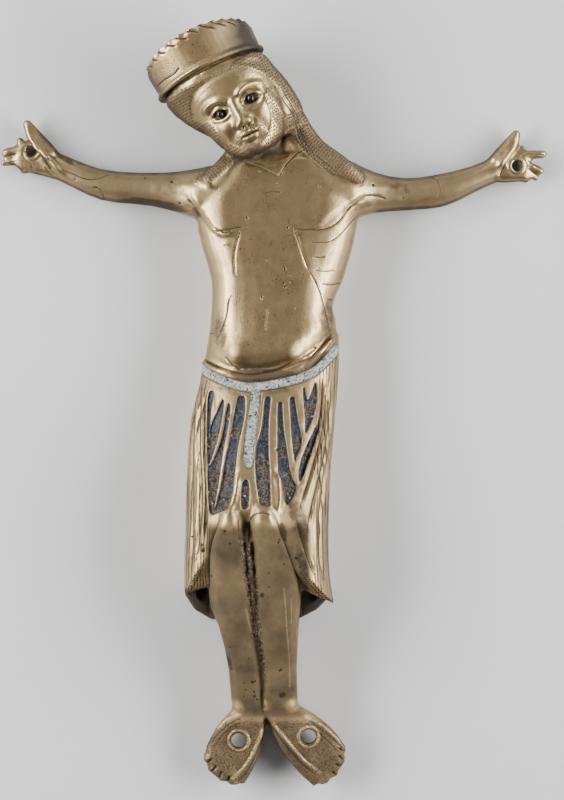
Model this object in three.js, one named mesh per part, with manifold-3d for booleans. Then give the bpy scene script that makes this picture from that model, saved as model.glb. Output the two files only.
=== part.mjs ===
// A crucifix corpus: a crowned figure cast in copper, flat at the back so that it lies against its cross.
// Millimetres. The figure lies on its back: +Z comes out of its front, +Y runs to its head, and +X is to
// the right of someone who looks down at it. The origin is under the middle of the figure.
import * as THREE from "three";
import { mergeVertices } from "three/addons/utils/BufferGeometryUtils.js";
import Module from "manifold-3d";

const wasm = await Module();
wasm.setup();

// Driving dimensions.
const HEIGHT = 200; // toes to the crown's top
const HAND_HOLE = 2.9; // nail hole through each palm
const FOOT_HOLE = 4.0; // nail hole through each foot
const CELL_DEPTH = 0.8; // how deep the loincloth is cut for its enamel
const BEAD = 2.2; // glass bead in each eye
const BEAD_GAP = 0.35; // between a bead and its socket
const CROWN_HEIGHT = 8.2; // the crown's band at the back of the head
const CROWN_RISE = 2.6; // how much taller the band is over the brow
const CROWN_WALL = 1.1; // sheet that the crown is bent from
const CROWN_RIM = 0.75; // how far the rolled lower rim stands out
const RIM_HEIGHT = 1.6; // how tall that rim is
const CROWN_FLARE = 0.35; // how far the band leans out towards its upper edge
const CROWN_DENT = 0.7; // how far the crown is bent out at its left end
const CROWN_FIT = 0.35; // between the crown and the head that it sits on
const NICKS = 28; // nicks round the crown's upper edge
const NICK_DEPTH = 0.35; // how far each nick is filed in

// The body, its limbs and its carving are drawn in units, this many of them to the height.
const UNITS_TALL = 200.4;
const UNIT = HEIGHT / UNITS_TALL;

const GILT = new THREE.MeshStandardMaterial({ color: 0xb08d57, roughness: 0.32, metalness: 1 });
const CROWN_GILT = new THREE.MeshStandardMaterial({ color: 0xb8965e, roughness: 0.3, metalness: 1 });
const GLASS = new THREE.MeshStandardMaterial({ color: 0x0d0d14, roughness: 0.08, metalness: 0 });

/** A three.js geometry as a solid to join or cut. */
function solidOf(geometry) {
  const bare = geometry.clone();
  bare.deleteAttribute("normal");
  bare.deleteAttribute("uv");
  const merged = mergeVertices(bare, 1e-5);
  const points = merged.attributes.position.array;
  const corner = (i) => new THREE.Vector3().fromArray(points, 3 * i);
  const faces = [];
  let volume = 0;
  for (let i = 0; i < merged.index.count; i += 3) {
    const [a, b, c] = merged.index.array.slice(i, i + 3);
    if (a === b || b === c || c === a) continue;
    faces.push(a, b, c);
    volume += corner(a).dot(corner(b).cross(corner(c)));
  }
  if (volume < 0) faces.reverse();
  return new wasm.Manifold(
    new wasm.Mesh({ numProp: 3, vertProperties: points, triVerts: new Uint32Array(faces) }),
  );
}

/** A solid as a three.js geometry. */
function geometryOf(solid) {
  const mesh = solid.getMesh();
  const geometry = new THREE.BufferGeometry();
  geometry.setAttribute("position", new THREE.BufferAttribute(mesh.vertProperties, 3));
  geometry.setIndex(new THREE.BufferAttribute(mesh.triVerts, 1));
  geometry.computeVertexNormals();
  return geometry;
}

const joined = (solids) => solids.reduce((all, one) => all.add(one));

/** A closed geometry through rings of points, each ring with as many points as the next. */
function skin(rings) {
  const count = rings[0].length;
  const middle = (ring) => ring.reduce((sum, p) => sum.add(p), new THREE.Vector3()).divideScalar(count);
  const points = [...rings.flat(), middle(rings[0]), middle(rings.at(-1))];
  const [firstCap, lastCap] = [points.length - 2, points.length - 1];
  const lastRing = (rings.length - 1) * count;
  const faces = [];
  for (let i = 0; i < count; i++) {
    const next = (i + 1) % count;
    faces.push(firstCap, i, next, lastCap, lastRing + next, lastRing + i);
    for (let r = 0; r < lastRing; r += count)
      faces.push(r + i, r + count + i, r + next, r + next, r + count + i, r + count + next);
  }
  const geometry = new THREE.BufferGeometry().setFromPoints(points);
  geometry.setIndex(faces);
  return geometry;
}

/** Smooth curves through rows of numbers: given a place in the first column, the other columns there. */
function through(rows) {
  const places = rows.map((row) => row[0]);
  const values = rows.flatMap((row) => row.slice(1));
  const curve = new THREE.CubicInterpolant(places, values, rows[0].length - 1);
  return (place) => [...curve.evaluate(place)];
}

// How an oval closes behind: boxy where the back is cut flat, or round.
const FLAT_BACK = { sectors: 4, square: 5 };
const ROUND_BACK = { sectors: 8, square: 2.2 };

/** Half an oval of half-size 1, from one side to the other. A square of 2 is an ellipse. */
function halfOval(sectors, square, way) {
  const bulge = (value) => Math.sign(value) * Math.abs(value) ** (2 / square);
  return Array.from({ length: sectors }, (_, i) => {
    const angle = (Math.PI * i) / sectors;
    return [way * bulge(Math.cos(angle)), way * bulge(Math.sin(angle))];
  });
}

// Each oval is widest at this share of its depth.
const WIDEST = 0.42;

/** The first column of the rows, with more places between them so that none is over a gap apart. */
function placesAlong(rows, gap) {
  const places = [rows[0][0]];
  for (const [next] of rows.slice(1)) {
    const before = places.at(-1);
    const steps = Math.ceil((next - before) / gap);
    for (let step = 1; step <= steps; step++) places.push(THREE.MathUtils.lerp(before, next, step / steps));
  }
  return places;
}

/**
 * A closed geometry through ovals. Each row is [along, centre, half, back, front, square]: where the oval
 * is, its middle and half-width across, how far back and out it reaches, and how square its front is.
 * Ovals are no more than a gap apart. `place` turns (along, across, out) into a point, in units.
 */
function loft(rows, gap, sectors, place, behind = FLAT_BACK) {
  const at = through(rows);
  const made = placesAlong(rows, gap).map((along) => {
    const [centre, half, back, front, square] = at(along);
    const widest = back + WIDEST * (front - back);
    const oval = [...halfOval(sectors, square, 1), ...halfOval(behind.sectors, behind.square, -1)];
    return oval.map(([across, out]) => {
      const depth = out > 0 ? front - widest : widest - back;
      return place(along, centre + half * across, widest + depth * out).multiplyScalar(UNIT);
    });
  });
  return skin(made);
}

const upTheBody = (along, across, out) => new THREE.Vector3(across, along, out);
const alongTheArms = (along, across, out) => new THREE.Vector3(along, across, out);

/** Places along the line from one point towards another, with the width across it. */
function towards(from, to) {
  const line = new THREE.Vector2(...to).sub(new THREE.Vector2(...from)).normalize();
  return (along, across, out) => {
    const x = from[0] + line.x * along - line.y * across;
    return new THREE.Vector3(x, from[1] + line.y * along + line.x * across, out);
  };
}

/** Places along a smooth path on the plane, from 0 at its start to 1 at its end. */
function onPath(points) {
  const path = new THREE.SplineCurve(points.map(([x, y]) => new THREE.Vector2(x, y)));
  return (along, across, out) => {
    const point = path.getPoint(along);
    const line = path.getTangent(along);
    return new THREE.Vector3(point.x - line.y * across, point.y + line.x * across, out);
  };
}

/** A round finger or toe from its root to its tip, tapering, with a round end. */
function digit(root, tip, rootRadius, tipRadius, sides = 6) {
  const axis = new THREE.Vector3().subVectors(new THREE.Vector3(...tip), new THREE.Vector3(...root));
  const length = axis.length();
  const roundEnd = [0, 0.5, 1].map((share) => {
    const angle = (share * Math.PI) / 2;
    return new THREE.Vector2(tipRadius * Math.cos(angle), length - tipRadius + tipRadius * Math.sin(angle));
  });
  roundEnd.at(-1).x = 0;
  const profile = [new THREE.Vector2(0, 0), new THREE.Vector2(rootRadius, 0), ...roundEnd];
  const geometry = new THREE.LatheGeometry(profile, sides);
  geometry.applyQuaternion(
    new THREE.Quaternion().setFromUnitVectors(new THREE.Vector3(0, 1, 0), axis.normalize()),
  );
  geometry.translate(...root);
  return solidOf(geometry.scale(UNIT, UNIT, UNIT));
}

/** A nail's way through, of a real diameter, at a place given in units. */
function nailWay(x, y, diameter) {
  const depth = 30 * UNIT;
  const way = new THREE.CylinderGeometry(diameter / 2, diameter / 2, depth, 16);
  way.rotateX(Math.PI / 2).translate(x * UNIT, y * UNIT, 0);
  return solidOf(way);
}

// The waist sags in the middle and rises to the hips, more on the figure's left.
const WAIST = { centre: -0.9, half: 17.8 };
const waistSag = (side) => 3.5 * side + 6.8 * side ** 2;

/** Chest and belly, from under the loincloth up to the neck. The belly follows the loincloth's edge. */
function trunk() {
  const rows = [
    [0, -2.0, 17.4, -4, 14.4, 2.3],
    [7.6, -1.0, 17.3, -4, 14.6, 2.3],
    [10.4, -0.9, 17.1, -4, 16.3, 2.3],
    [13.4, -0.8, 16.7, -4, 17.1, 2.4],
    [18.5, -0.8, 16.1, -4, 16.2, 2.5],
    [25.5, -0.1, 16.4, -4, 14.8, 2.6],
    [32.0, 0.7, 17.3, -4, 14.7, 2.6],
    [44.6, 0.7, 20.7, -4, 15.4, 3.0],
    [54.2, 0.7, 20.8, -4, 14.9, 3.4],
    [60.5, -0.5, 16.4, -4, 13.9, 3.0],
    [64.5, -2.5, 9.8, -2, 12.6, 2.6],
    [67.5, -2.6, 7.6, 0, 11.4, 2.4],
  ];
  const followWaist = (along, across, out) => {
    const low = 1 - THREE.MathUtils.smoothstep(along, 10, 34);
    const side = (across - WAIST.centre) / WAIST.half;
    return new THREE.Vector3(across, along + low * waistSag(side), out);
  };
  return solidOf(loft(rows, 5, 16, followWaist));
}

/** Both arms and the shoulders between them, from wrist to wrist. */
function arms() {
  const rows = [
    [-60.2, 63.4, 3.6, 0.2, 5.6, 2.2],
    [-56.1, 61.6, 3.7, -0.6, 6.0, 2.1],
    [-45.6, 57.2, 4.1, -1.0, 7.2, 2.0],
    [-32.5, 55.9, 4.4, -1.0, 8.0, 2.0],
    [-26.0, 55.2, 5.3, -1.4, 9.6, 2.1],
    [-20.0, 54.6, 6.8, -2.0, 12.2, 2.2],
    [-3.3, 55.6, 9.3, -3.0, 14.2, 3.4],
    [9.3, 57.0, 10.0, -3.0, 14.2, 3.4],
    [20.4, 55.5, 7.6, -2.0, 12.6, 2.3],
    [26.3, 55.0, 5.4, -1.4, 9.8, 2.1],
    [34.0, 54.6, 4.3, -1.0, 8.0, 2.0],
    [44.6, 55.8, 4.4, -1.0, 7.6, 2.0],
    [55.0, 59.8, 3.5, -0.6, 6.2, 2.1],
    [59.6, 62.2, 3.9, 0.2, 5.6, 2.2],
  ];
  return solidOf(loft(rows, 4.5, 9, alongTheArms));
}

/** The loincloth's shape, taken in by `inset` all round. It flares to the sides and rises over the knees. */
function loinclothBody(inset = 0) {
  const rows = [
    [0, WAIST.centre, WAIST.half, -4, 16.2, 2.4],
    [0.1, -1.3, 18.3, -4, 16.4, 2.4],
    [0.25, -2.8, 19.1, -4, 17.2, 2.5],
    [0.5, -4.1, 18.9, -4, 19.2, 2.6],
    [0.75, -4.6, 18.8, -4, 21.4, 2.6],
    [0.9, -4.6, 19.1, -4, 22.0, 2.6],
    [1, -4.0, 19.5, -4, 21.0, 2.6],
  ].map(([share, centre, half, back, front, square]) => [
    share,
    centre,
    half - inset,
    back + inset,
    front - inset,
    square,
  ]);
  const waist = (side) => 7.8 + waistSag(side);
  const corner = (side, start) => Math.max(0, (side - start) / (1 - start));
  const hem = (side) =>
    side < 0
      ? -31 - 8.2 * THREE.MathUtils.smoothstep(-side, 0.25, 0.6) - 11 * corner(-side, 0.6) ** 1.3
      : -31 - 12.6 * THREE.MathUtils.smoothstep(side, 0.1, 0.5) - 9 * corner(side, 0.5) ** 1.1;
  const hang = (share, across, out) => {
    const [centre, half] = through(rows)(share);
    const side = THREE.MathUtils.clamp((across - centre) / half, -1, 1);
    return new THREE.Vector3(across, THREE.MathUtils.lerp(waist(side), hem(side), share), out);
  };
  return solidOf(loft(rows, 0.13, 25, hang));
}

/**
 * The outline of one enamel cell: its top, how it bends and its bottom, each an [x, y, half-width],
 * with round ends.
 */
function cellOutline(top, middle, bottom) {
  const ends = [top, middle, bottom];
  const edge = (sign) =>
    ends.map(([x, y, half], i) => {
      const before = ends[Math.max(i - 1, 0)];
      const after = ends[Math.min(i + 1, 2)];
      const along = new THREE.Vector2(after[0] - before[0], after[1] - before[1]).normalize();
      return new THREE.Vector2(x - sign * half * along.y, y + sign * half * along.x);
    });
  const tip = ([x, y, half], way) => new THREE.Vector2(x, y + way * half * 0.7);
  const outline = [...edge(1), tip(bottom, -1), ...edge(-1).reverse(), tip(top, 1)];
  return new THREE.Shape(outline.map((point) => point.multiplyScalar(UNIT)));
}

// The cells between the gilt folds, from left to right.
const CELLS = [
  [[-16.4, 2.5, 0.44], [-15.9, -6.4, 1.5], [-17.1, -15.6, 0.3]],
  [[-11.8, -0.4, 0.44], [-14.6, -15.3, 1.2], [-16.4, -28.6, 0.44]],
  [[-8.6, 1.2, 0.9], [-10.8, -12.1, 1.3], [-13.1, -26.6, 1.75]],
  [[-7.4, -20.2, 0.95], [-7.5, -23.8, 1.15], [-7.7, -27.3, 0.9]],
  [[-1.8, 1.2, 0.76], [-3.2, -12.7, 1.65], [-2.4, -26.2, 1.4]],
  [[1.4, -0.1, 0.63], [2.5, -17.5, 1.35], [3.9, -25.4, 0.7]],
  [[4.6, 1.2, 0.63], [5.6, -6.4, 1.15], [5.5, -15.6, 0.3]],
  [[9.1, 1.2, 1.4], [9.1, -3.9, 0.95], [8.0, -8.3, 0.25]],
  [[10.8, -6.4, 0.25], [7.8, -14.3, 0.7], [6.3, -20.3, 0.3]],
];

/** The cloth behind the legs: a dish whose rim runs on from the loincloth's two lower corners. */
function backCloth() {
  const outside = [
    [-57, -5.3, 11.8, -4, 3.4, 3],
    [-54.5, -4.9, 16.2, -4, 5.6, 3],
    [-50.5, -4.3, 19.3, -4, 10.4, 3],
    [-44, -4.4, 18.9, -4, 12, 3],
    [-30, -4.5, 18.4, -4, 12, 3],
  ];
  const [wall, floor, clear] = [1.5, 5, 30];
  const inside = outside.map(([along, centre, half, , , square]) => [
    along,
    centre,
    half - wall,
    floor,
    clear,
    square,
  ]);
  return solidOf(loft(outside, 8, 9, upTheBody)).subtract(solidOf(loft(inside, 8, 3, upTheBody)));
}

/** The loincloth with its enamel cells cut, and the cloth that hangs behind the legs. */
function loincloth() {
  const depth = { depth: 40 * UNIT, bevelEnabled: false };
  const cells = CELLS.map((cell) => solidOf(new THREE.ExtrudeGeometry(cellOutline(...cell), depth)));
  const cut = joined(cells).subtract(loinclothBody(CELL_DEPTH / UNIT));
  return loinclothBody().subtract(cut).add(backCloth());
}

/** The two legs, side by side, knees forward, with a shallow valley between them. */
function legs() {
  const left = [
    [-84.6, -7.2, 2.6, 2.6, 8.6, 2.2],
    [-81.5, -6.7, 3.8, 2.6, 10.6, 2.4],
    [-77.8, -7.1, 4.3, 2.6, 12.2, 2.5],
    [-70, -7.6, 4.4, 2.6, 14.2, 2.6],
    [-58.2, -9.9, 4.8, 2.0, 17.6, 2.8],
    [-54, -10.9, 5.6, 1.4, 18.8, 2.8],
    [-46, -11.7, 5.7, 1.0, 20.6, 2.8],
    [-36, -12.0, 5.2, 1.0, 22.8, 2.8],
    [-31, -11.6, 4.2, 4.0, 23.8, 2.4],
    [-28.2, -11.6, 3.0, 14.0, 22.9, 2.2],
    [-26.8, -11.6, 1.6, 15.0, 21.8, 2.2],
  ];
  const right = [
    [-84.6, 3.4, 2.6, 2.6, 8.6, 2.2],
    [-81.5, 2.4, 3.8, 2.6, 10.6, 2.4],
    [-77.8, 1.9, 4.3, 2.6, 12.2, 2.5],
    [-70, 1.3, 4.6, 2.6, 14.2, 2.6],
    [-58.2, 0.6, 5.8, 2.0, 17.6, 2.8],
    [-46, 0.5, 6.5, 1.0, 20.6, 2.8],
    [-36, -0.8, 6.0, 1.0, 22.8, 3.0],
    [-30.5, -2.5, 4.8, 4.0, 24.0, 2.6],
    [-27.2, -3.0, 3.6, 14.0, 23.2, 2.2],
    [-25.9, -3.0, 2.0, 15.0, 21.8, 2.2],
  ];
  const web = [
    [-82.5, -2.2, 2.6, 2.8, 9.2, 2],
    [-70, -3.1, 2.8, 2.6, 12.6, 2],
    [-58, -4.9, 2.8, 1.6, 15.6, 2],
    [-46, -6.0, 2.6, 1.0, 18.8, 2],
    [-33, -7.2, 2.6, 1.0, 21.8, 2],
  ];
  return joined([
    solidOf(loft(left, 6.1, 9, upTheBody)),
    solidOf(loft(right, 6.1, 9, upTheBody)),
    solidOf(loft(web, 14, 4, upTheBody)),
  ]);
}

/**
 * One foot, a flat paddle that slopes down from the ankle to five toes along its end, the outer ones
 * shorter. `side` is -1 for the left one.
 */
function foot(ankle, toes, side, breadth) {
  const towardsToes = towards(ankle, toes);
  const outwards = side * Math.sign(towardsToes(0, 1, 0).x - ankle[0]);
  const place = (along, across, out) => towardsToes(along, outwards * across, out);
  const length = Math.hypot(toes[0] - ankle[0], toes[1] - ankle[1]);
  const rows = [
    [-0.12, -0.05, 0.55, 2.8, 10.2, 2.2],
    [0.05, -0.05, 0.68, 2.4, 10.8, 2.3],
    [0.25, 0, 0.88, 2.4, 10.0, 2.6],
    [0.5, 0.05, 1, 2.4, 8.8, 3],
    [0.75, 0.05, 0.98, 2.6, 7.8, 3],
    [0.93, -0.08, 0.74, 3.0, 6.8, 2.8],
  ].map(([along, centre, half, ...depths]) => [along * length, centre * breadth, half * breadth, ...depths]);
  const toe = ([across, reach, radius]) => {
    const root = place(length * reach - 4.4, across * breadth * 0.94, 5.4);
    const tip = place(length * reach, across * breadth, 4.8);
    return digit(root.toArray(), tip.toArray(), radius, radius);
  };
  const toeEnds = [
    [-0.34, 1, 2.4],
    [0.08, 1, 1.6],
    [0.36, 0.96, 1.5],
    [0.64, 0.91, 1.5],
    [0.88, 0.84, 1.45],
  ];
  return joined([solidOf(loft(rows, 4.2, 9, place)), ...toeEnds.map(toe)]);
}

/** The left hand: an upright thumb, two fingers and two broken stubs. */
function leftHand() {
  const palm = [
    [-68.0, 64.6, 2.7, 1.0, 4.0, 2.6],
    [-66.6, 64.6, 3.8, 0.6, 4.6, 3],
    [-64.0, 64.4, 4.3, 0.4, 4.9, 3],
    [-60.5, 63.6, 4.3, 0.2, 5.2, 2.6],
    [-58, 62.4, 3.9, 0.0, 5.4, 2.3],
  ];
  return joined([
    solidOf(loft(palm, 3.6, 7, alongTheArms)),
    digit([-59.3, 64.2, 3.0], [-65.5, 74.0, 3.0], 3.2, 1.3, 8),
    digit([-66.2, 67.0, 3.0], [-67.2, 69.6, 2.4], 1.3, 1.1),
    digit([-66, 66.4, 3.2], [-71.7, 65.2, 2.6], 1.45, 1.25),
    digit([-66, 63.6, 3.0], [-72.0, 62.6, 2.4], 1.25, 0.95),
    digit([-64, 61.8, 2.8], [-66.6, 60.3, 2.0], 1.4, 0.9),
  ]);
}

/** The right hand: a thumb, a straight first finger and shorter ones folded down. */
function rightHand() {
  const palm = [
    [57.6, 61.4, 3.7, 0.0, 5.4, 2.3],
    [60.5, 61.6, 4.0, 0.2, 5.2, 2.6],
    [64.0, 62.1, 4.2, 0.4, 4.9, 3],
    [65.8, 61.8, 3.9, 0.6, 4.6, 3],
    [67.0, 61.2, 3.0, 1.0, 4.0, 2.6],
  ];
  return joined([
    solidOf(loft(palm, 3.6, 7, alongTheArms)),
    digit([59.0, 62.4, 3.0], [64.0, 71.4, 3.0], 3.5, 1.3, 8),
    digit([64, 66.0, 2.6], [65.6, 67.2, 2.2], 1.1, 0.9),
    digit([65.5, 64.8, 3.2], [71.6, 65.2, 2.8], 1.35, 1.15),
    digit([66, 62.4, 3.2], [70.8, 60.3, 2.6], 1.3, 1.05),
    digit([66, 60.4, 3.0], [69.4, 58.5, 2.2], 1.2, 0.95),
    digit([64.5, 59.2, 2.8], [66.6, 57.9, 2.0], 1.2, 0.8),
  ]);
}

// The head leans to its right, with its chin a little down. Its own axes are across, up and out.
const HEAD = new THREE.Matrix4()
  .makeTranslation(-11.1, 77.8, 13.2)
  .multiply(new THREE.Matrix4().makeRotationZ(THREE.MathUtils.degToRad(27.5)))
  .multiply(new THREE.Matrix4().makeRotationY(THREE.MathUtils.degToRad(-8)))
  .multiply(new THREE.Matrix4().makeRotationX(THREE.MathUtils.degToRad(4)));
const onHead = (along, across, out) => new THREE.Vector3(across, along, out).applyMatrix4(HEAD);

// The crown's seat is at this height on the head, and climbs a little towards the brow.
const CROWN_SEAT = 8.8;
const CROWN_CLIMB = 0.26;
const SKULL_TOP = 17.2;
const SKULL = { half: 12.9, back: -9.6, front: 9.2, centre: -1.0 };

const underCrown = (along, across, out) =>
  onHead(along + CROWN_CLIMB * out * THREE.MathUtils.smoothstep(along, -1, CROWN_SEAT), across, out);

const EYE = { across: 4.5, up: -0.8, out: 9.3, middle: 1.7 };

const bump = (distance, radius) => Math.exp(-((distance / radius) ** 2));

/** How far the face stands out at a place: a calm mask on plain proportions, with a short beard. */
function faceRelief(across, up) {
  const side = Math.abs(across);
  const noseRun = THREE.MathUtils.smoothstep(up, -6.6, -5.4) * (1 - THREE.MathUtils.smoothstep(up, -1, 3));
  const nose = (1.1 + 0.2 * (1 - up)) * bump(across, 1.5) * noseRun;
  const brow = 0.5 * bump(up - 2 + 0.04 * side ** 2, 1.1) * bump(side - 4, 3.2);
  const socket = -0.9 * bump(Math.hypot(side - EYE.across, (up - EYE.up) * 1.2), 2.3);
  const cheek = 0.4 * bump(Math.hypot(side - 5.2, up + 4.6), 2.6);
  const lips = 0.7 * bump(up + 8.6, 1.0) * bump(across, 2.6);
  const beard = 0.9 * bump(up + 12.4, 2.4) * bump(across, 4.4);
  return nose + brow + socket + cheek + lips + beard;
}

/** The face in front of the hair, from the chin up to the crown's rim. */
function face() {
  const rows = [
    [-14.6, 1.8, 3.6, -6, 6.4, 2.1],
    [-13.4, 1.8, 6.4, -6, 8.4, 2.2],
    [-10, 1.8, 9.0, -6, 9.4, 2.2],
    [-5, 1.8, 10.8, -6, 9.8, 2.2],
    [0, 1.6, 11.4, -6, 10.0, 2.2],
    [5, 1.0, 11.3, -6, 10.4, 2.2],
    [CROWN_SEAT - 1, 0.4, 10.4, -6, 9.2, 2.1],
  ];
  const place = (along, across, out) => {
    const inFront = THREE.MathUtils.smoothstep(out, 3, 8);
    return underCrown(along, across, out + inFront * faceRelief(across - EYE.middle, along));
  };
  return solidOf(loft(rows, 1.2, 19, place));
}

/** Hair round the head and the skull that it covers, up into the crown. */
function hairOfTheHead() {
  const mass = [
    [-13.5, 5.2, 8.6, -9.0, 1.0, 2.2],
    [-9.5, 4.9, 10.6, -9.6, 4.0, 2.2],
    [-5.2, 3.0, 12.6, -10.4, 6.2, 2.2],
    [-1.9, 1.7, 13.6, -11.0, 7.6, 2.2],
    [0.5, 0.8, 14.1, -11.0, 8.4, 2.2],
    [4, -0.4, 14.5, -11.0, 8.8, 2.2],
    [CROWN_SEAT - 1.6, -1.0, 14.6, -10.8, 10.2, 2.2],
    [CROWN_SEAT, SKULL.centre, SKULL.half + 0.8, SKULL.back - 0.6, SKULL.front + 0.8, 2.1],
  ];
  const skull = [
    [CROWN_SEAT - 3, SKULL.centre, SKULL.half, SKULL.back, SKULL.front, 2],
    [CROWN_SEAT, SKULL.centre, SKULL.half, SKULL.back, SKULL.front, 2],
    [SKULL_TOP - 4, SKULL.centre, SKULL.half * 0.9, SKULL.back * 0.9, SKULL.front * 0.9, 2],
    [SKULL_TOP - 1, SKULL.centre, SKULL.half * 0.6, SKULL.back * 0.6, SKULL.front * 0.6, 2],
    [SKULL_TOP, SKULL.centre, SKULL.half * 0.15, SKULL.back * 0.15, SKULL.front * 0.15, 2],
  ];
  return joined([
    solidOf(loft(mass, 3.6, 12, underCrown, ROUND_BACK)),
    solidOf(loft(skull, 4, 9, underCrown, ROUND_BACK)),
  ]);
}

/** The neck, and the hair that falls from behind it to each shoulder. */
function neckAndFalls() {
  const neck = [
    [58, -2.5, 12.5, 0, 12.8, 2.4],
    [63, -2.6, 10.4, 0, 12.6, 2.2],
    [68, -2.6, 9.6, 0, 12.0, 2.2],
    [76, -4.0, 9.0, 0, 11.0, 2.2],
  ];
  const fall = [
    [0, -0.4, 3.4, 2.4, 11.4, 2.6],
    [0.3, -0.5, 4.0, 2.2, 12.4, 2.8],
    [0.6, -0.5, 4.0, 3.0, 13.6, 2.8],
    [0.85, -0.4, 3.4, 6.0, 14.2, 2.8],
    [1, 0, 2.0, 8.0, 12.6, 2.4],
  ];
  const rightPath = [
    [-2.0, 85.4],
    [3.1, 77.3],
    [6.9, 70.2],
    [10.8, 65.4],
    [16.6, 61.6],
    [22.6, 57.6],
  ];
  const leftFall = fall.map(([along, centre, half, ...depths]) => [along, -centre, half * 0.75, ...depths]);
  const leftPath = [
    [-9.4, 67.4],
    [-11.6, 63.2],
    [-15.0, 59.6],
    [-18.6, 56.4],
  ];
  return joined([
    solidOf(loft(neck, 6, 9, upTheBody)),
    solidOf(loft(fall, 0.13, 7, onPath(rightPath))),
    solidOf(loft(leftFall, 0.25, 7, onPath(leftPath))),
  ]);
}

const beadPlace = (side) =>
  underCrown(EYE.up, EYE.middle + side * EYE.across, EYE.out).multiplyScalar(UNIT);

/** A glass bead, or with a gap the socket that it sits in. */
function beadBall(side, gap = 0) {
  const { x, y, z } = beadPlace(side);
  return new THREE.SphereGeometry(BEAD / 2 + gap, 10, 6).translate(x, y, z);
}

/** The whole casting, cut flat at the back and drilled for its nails. */
function corpus() {
  const body = joined([
    trunk(),
    arms(),
    loincloth(),
    legs(),
    foot([-6.5, -80.5], [-13.6, -99.6], -1, 6.7),
    foot([2.2, -81.0], [15.8, -98.4], 1, 7.0),
    leftHand(),
    rightHand(),
    face(),
    hairOfTheHead(),
    neckAndFalls(),
  ]);
  const nails = joined([
    nailWay(-63.9, 65.8, HAND_HOLE),
    nailWay(63.7, 62.1, HAND_HOLE),
    nailWay(-9.4, -88.5, FOOT_HOLE),
    nailWay(8.9, -87.5, FOOT_HOLE),
  ]);
  const sockets = joined([-1, 1].map((side) => solidOf(beadBall(side, BEAD_GAP))));
  const behind = solidOf(new THREE.BoxGeometry(2 * HEIGHT, 2 * HEIGHT, HEIGHT).translate(0, 0, -HEIGHT / 2));
  return body.subtract(joined([nails, sockets, behind]));
}

/** A closed geometry from sections that run once round and meet again. */
function ringOf(sections) {
  const count = sections[0].length;
  const faces = [];
  sections.forEach((_, s) => {
    const here = s * count;
    const there = ((s + 1) % sections.length) * count;
    for (let i = 0; i < count; i++) {
      const next = (i + 1) % count;
      faces.push(here + i, there + i, here + next, here + next, there + i, there + next);
    }
  });
  const geometry = new THREE.BufferGeometry().setFromPoints(sections.flat());
  geometry.setIndex(faces);
  return geometry;
}

/** The crown: a tall band with a rolled lower rim and a nicked upper edge, highest over the brow. */
function crown() {
  const [height, rise, wall, rim, rimHeight, flare, dent, fit, nickDepth] = [
    CROWN_HEIGHT,
    CROWN_RISE,
    CROWN_WALL,
    CROWN_RIM,
    RIM_HEIGHT,
    CROWN_FLARE,
    CROWN_DENT,
    CROWN_FIT,
    NICK_DEPTH,
  ].map((size) => size / UNIT);
  const stepsPerNick = 2;
  const steps = NICKS * stepsPerNick;
  const widest = SKULL.back + WIDEST * (SKULL.front - SKULL.back);
  const low = CROWN_SEAT + fit;
  const sections = Array.from({ length: steps }, (_, step) => {
    const angle = (2 * Math.PI * step) / steps;
    const [ahead, leftwards] = [Math.sin(angle), -Math.cos(angle)];
    const nick = step % stepsPerNick === 0 ? nickDepth : 0;
    const top = low + height + rise * Math.max(0, ahead) - nick;
    const deep = ahead > 0 ? SKULL.front - widest : widest - SKULL.back;
    const outer = fit + wall + dent * Math.max(0, leftwards) ** 4;
    const spot = ([grow, up]) =>
      underCrown(
        up,
        SKULL.centre - (SKULL.half + grow) * leftwards,
        widest + (deep + grow) * ahead,
      ).multiplyScalar(UNIT);
    return [
      [fit, low],
      [outer + rim * 0.6, low],
      [outer + rim, low + rimHeight * 0.45],
      [outer, low + rimHeight],
      [outer + flare, top - height * 0.2],
      [outer - nick, top],
      [fit, top - wall * 0.4],
    ].map(spot);
  });
  return ringOf(sections);
}

function named(name, solid, material) {
  const mesh = new THREE.Mesh(geometryOf(solid), material);
  mesh.name = name;
  return mesh;
}

const figure = new THREE.Group();
figure.add(
  named("corpus", corpus(), GILT),
  named("crown", solidOf(crown()), CROWN_GILT),
  named("eye_bead_left", solidOf(beadBall(-1)), GLASS),
  named("eye_bead_right", solidOf(beadBall(1)), GLASS),
);

// The origin goes under the middle of the figure's outline.
const outline = new THREE.Box3().setFromObject(figure);
const middle = outline.getCenter(new THREE.Vector3());
figure.position.set(-middle.x, -middle.y, -outline.min.z);

export default figure;
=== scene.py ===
# %% [markdown]
# A gilt copper figure, seen from straight above.
# The real object is a casting a hand's length tall. It was filed and engraved by hand, its loincloth was cut
# out in cells that were filled with enamel, and then it was gilded. It lies on its flat back on a pale table.
# The solids of the part give the form. This script adds what a chisel, a punch, fire and wear added.

# %% Tools and the frame
import math

import bmesh
import bpy
import numpy as np
from mathutils import Matrix, Vector


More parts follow.
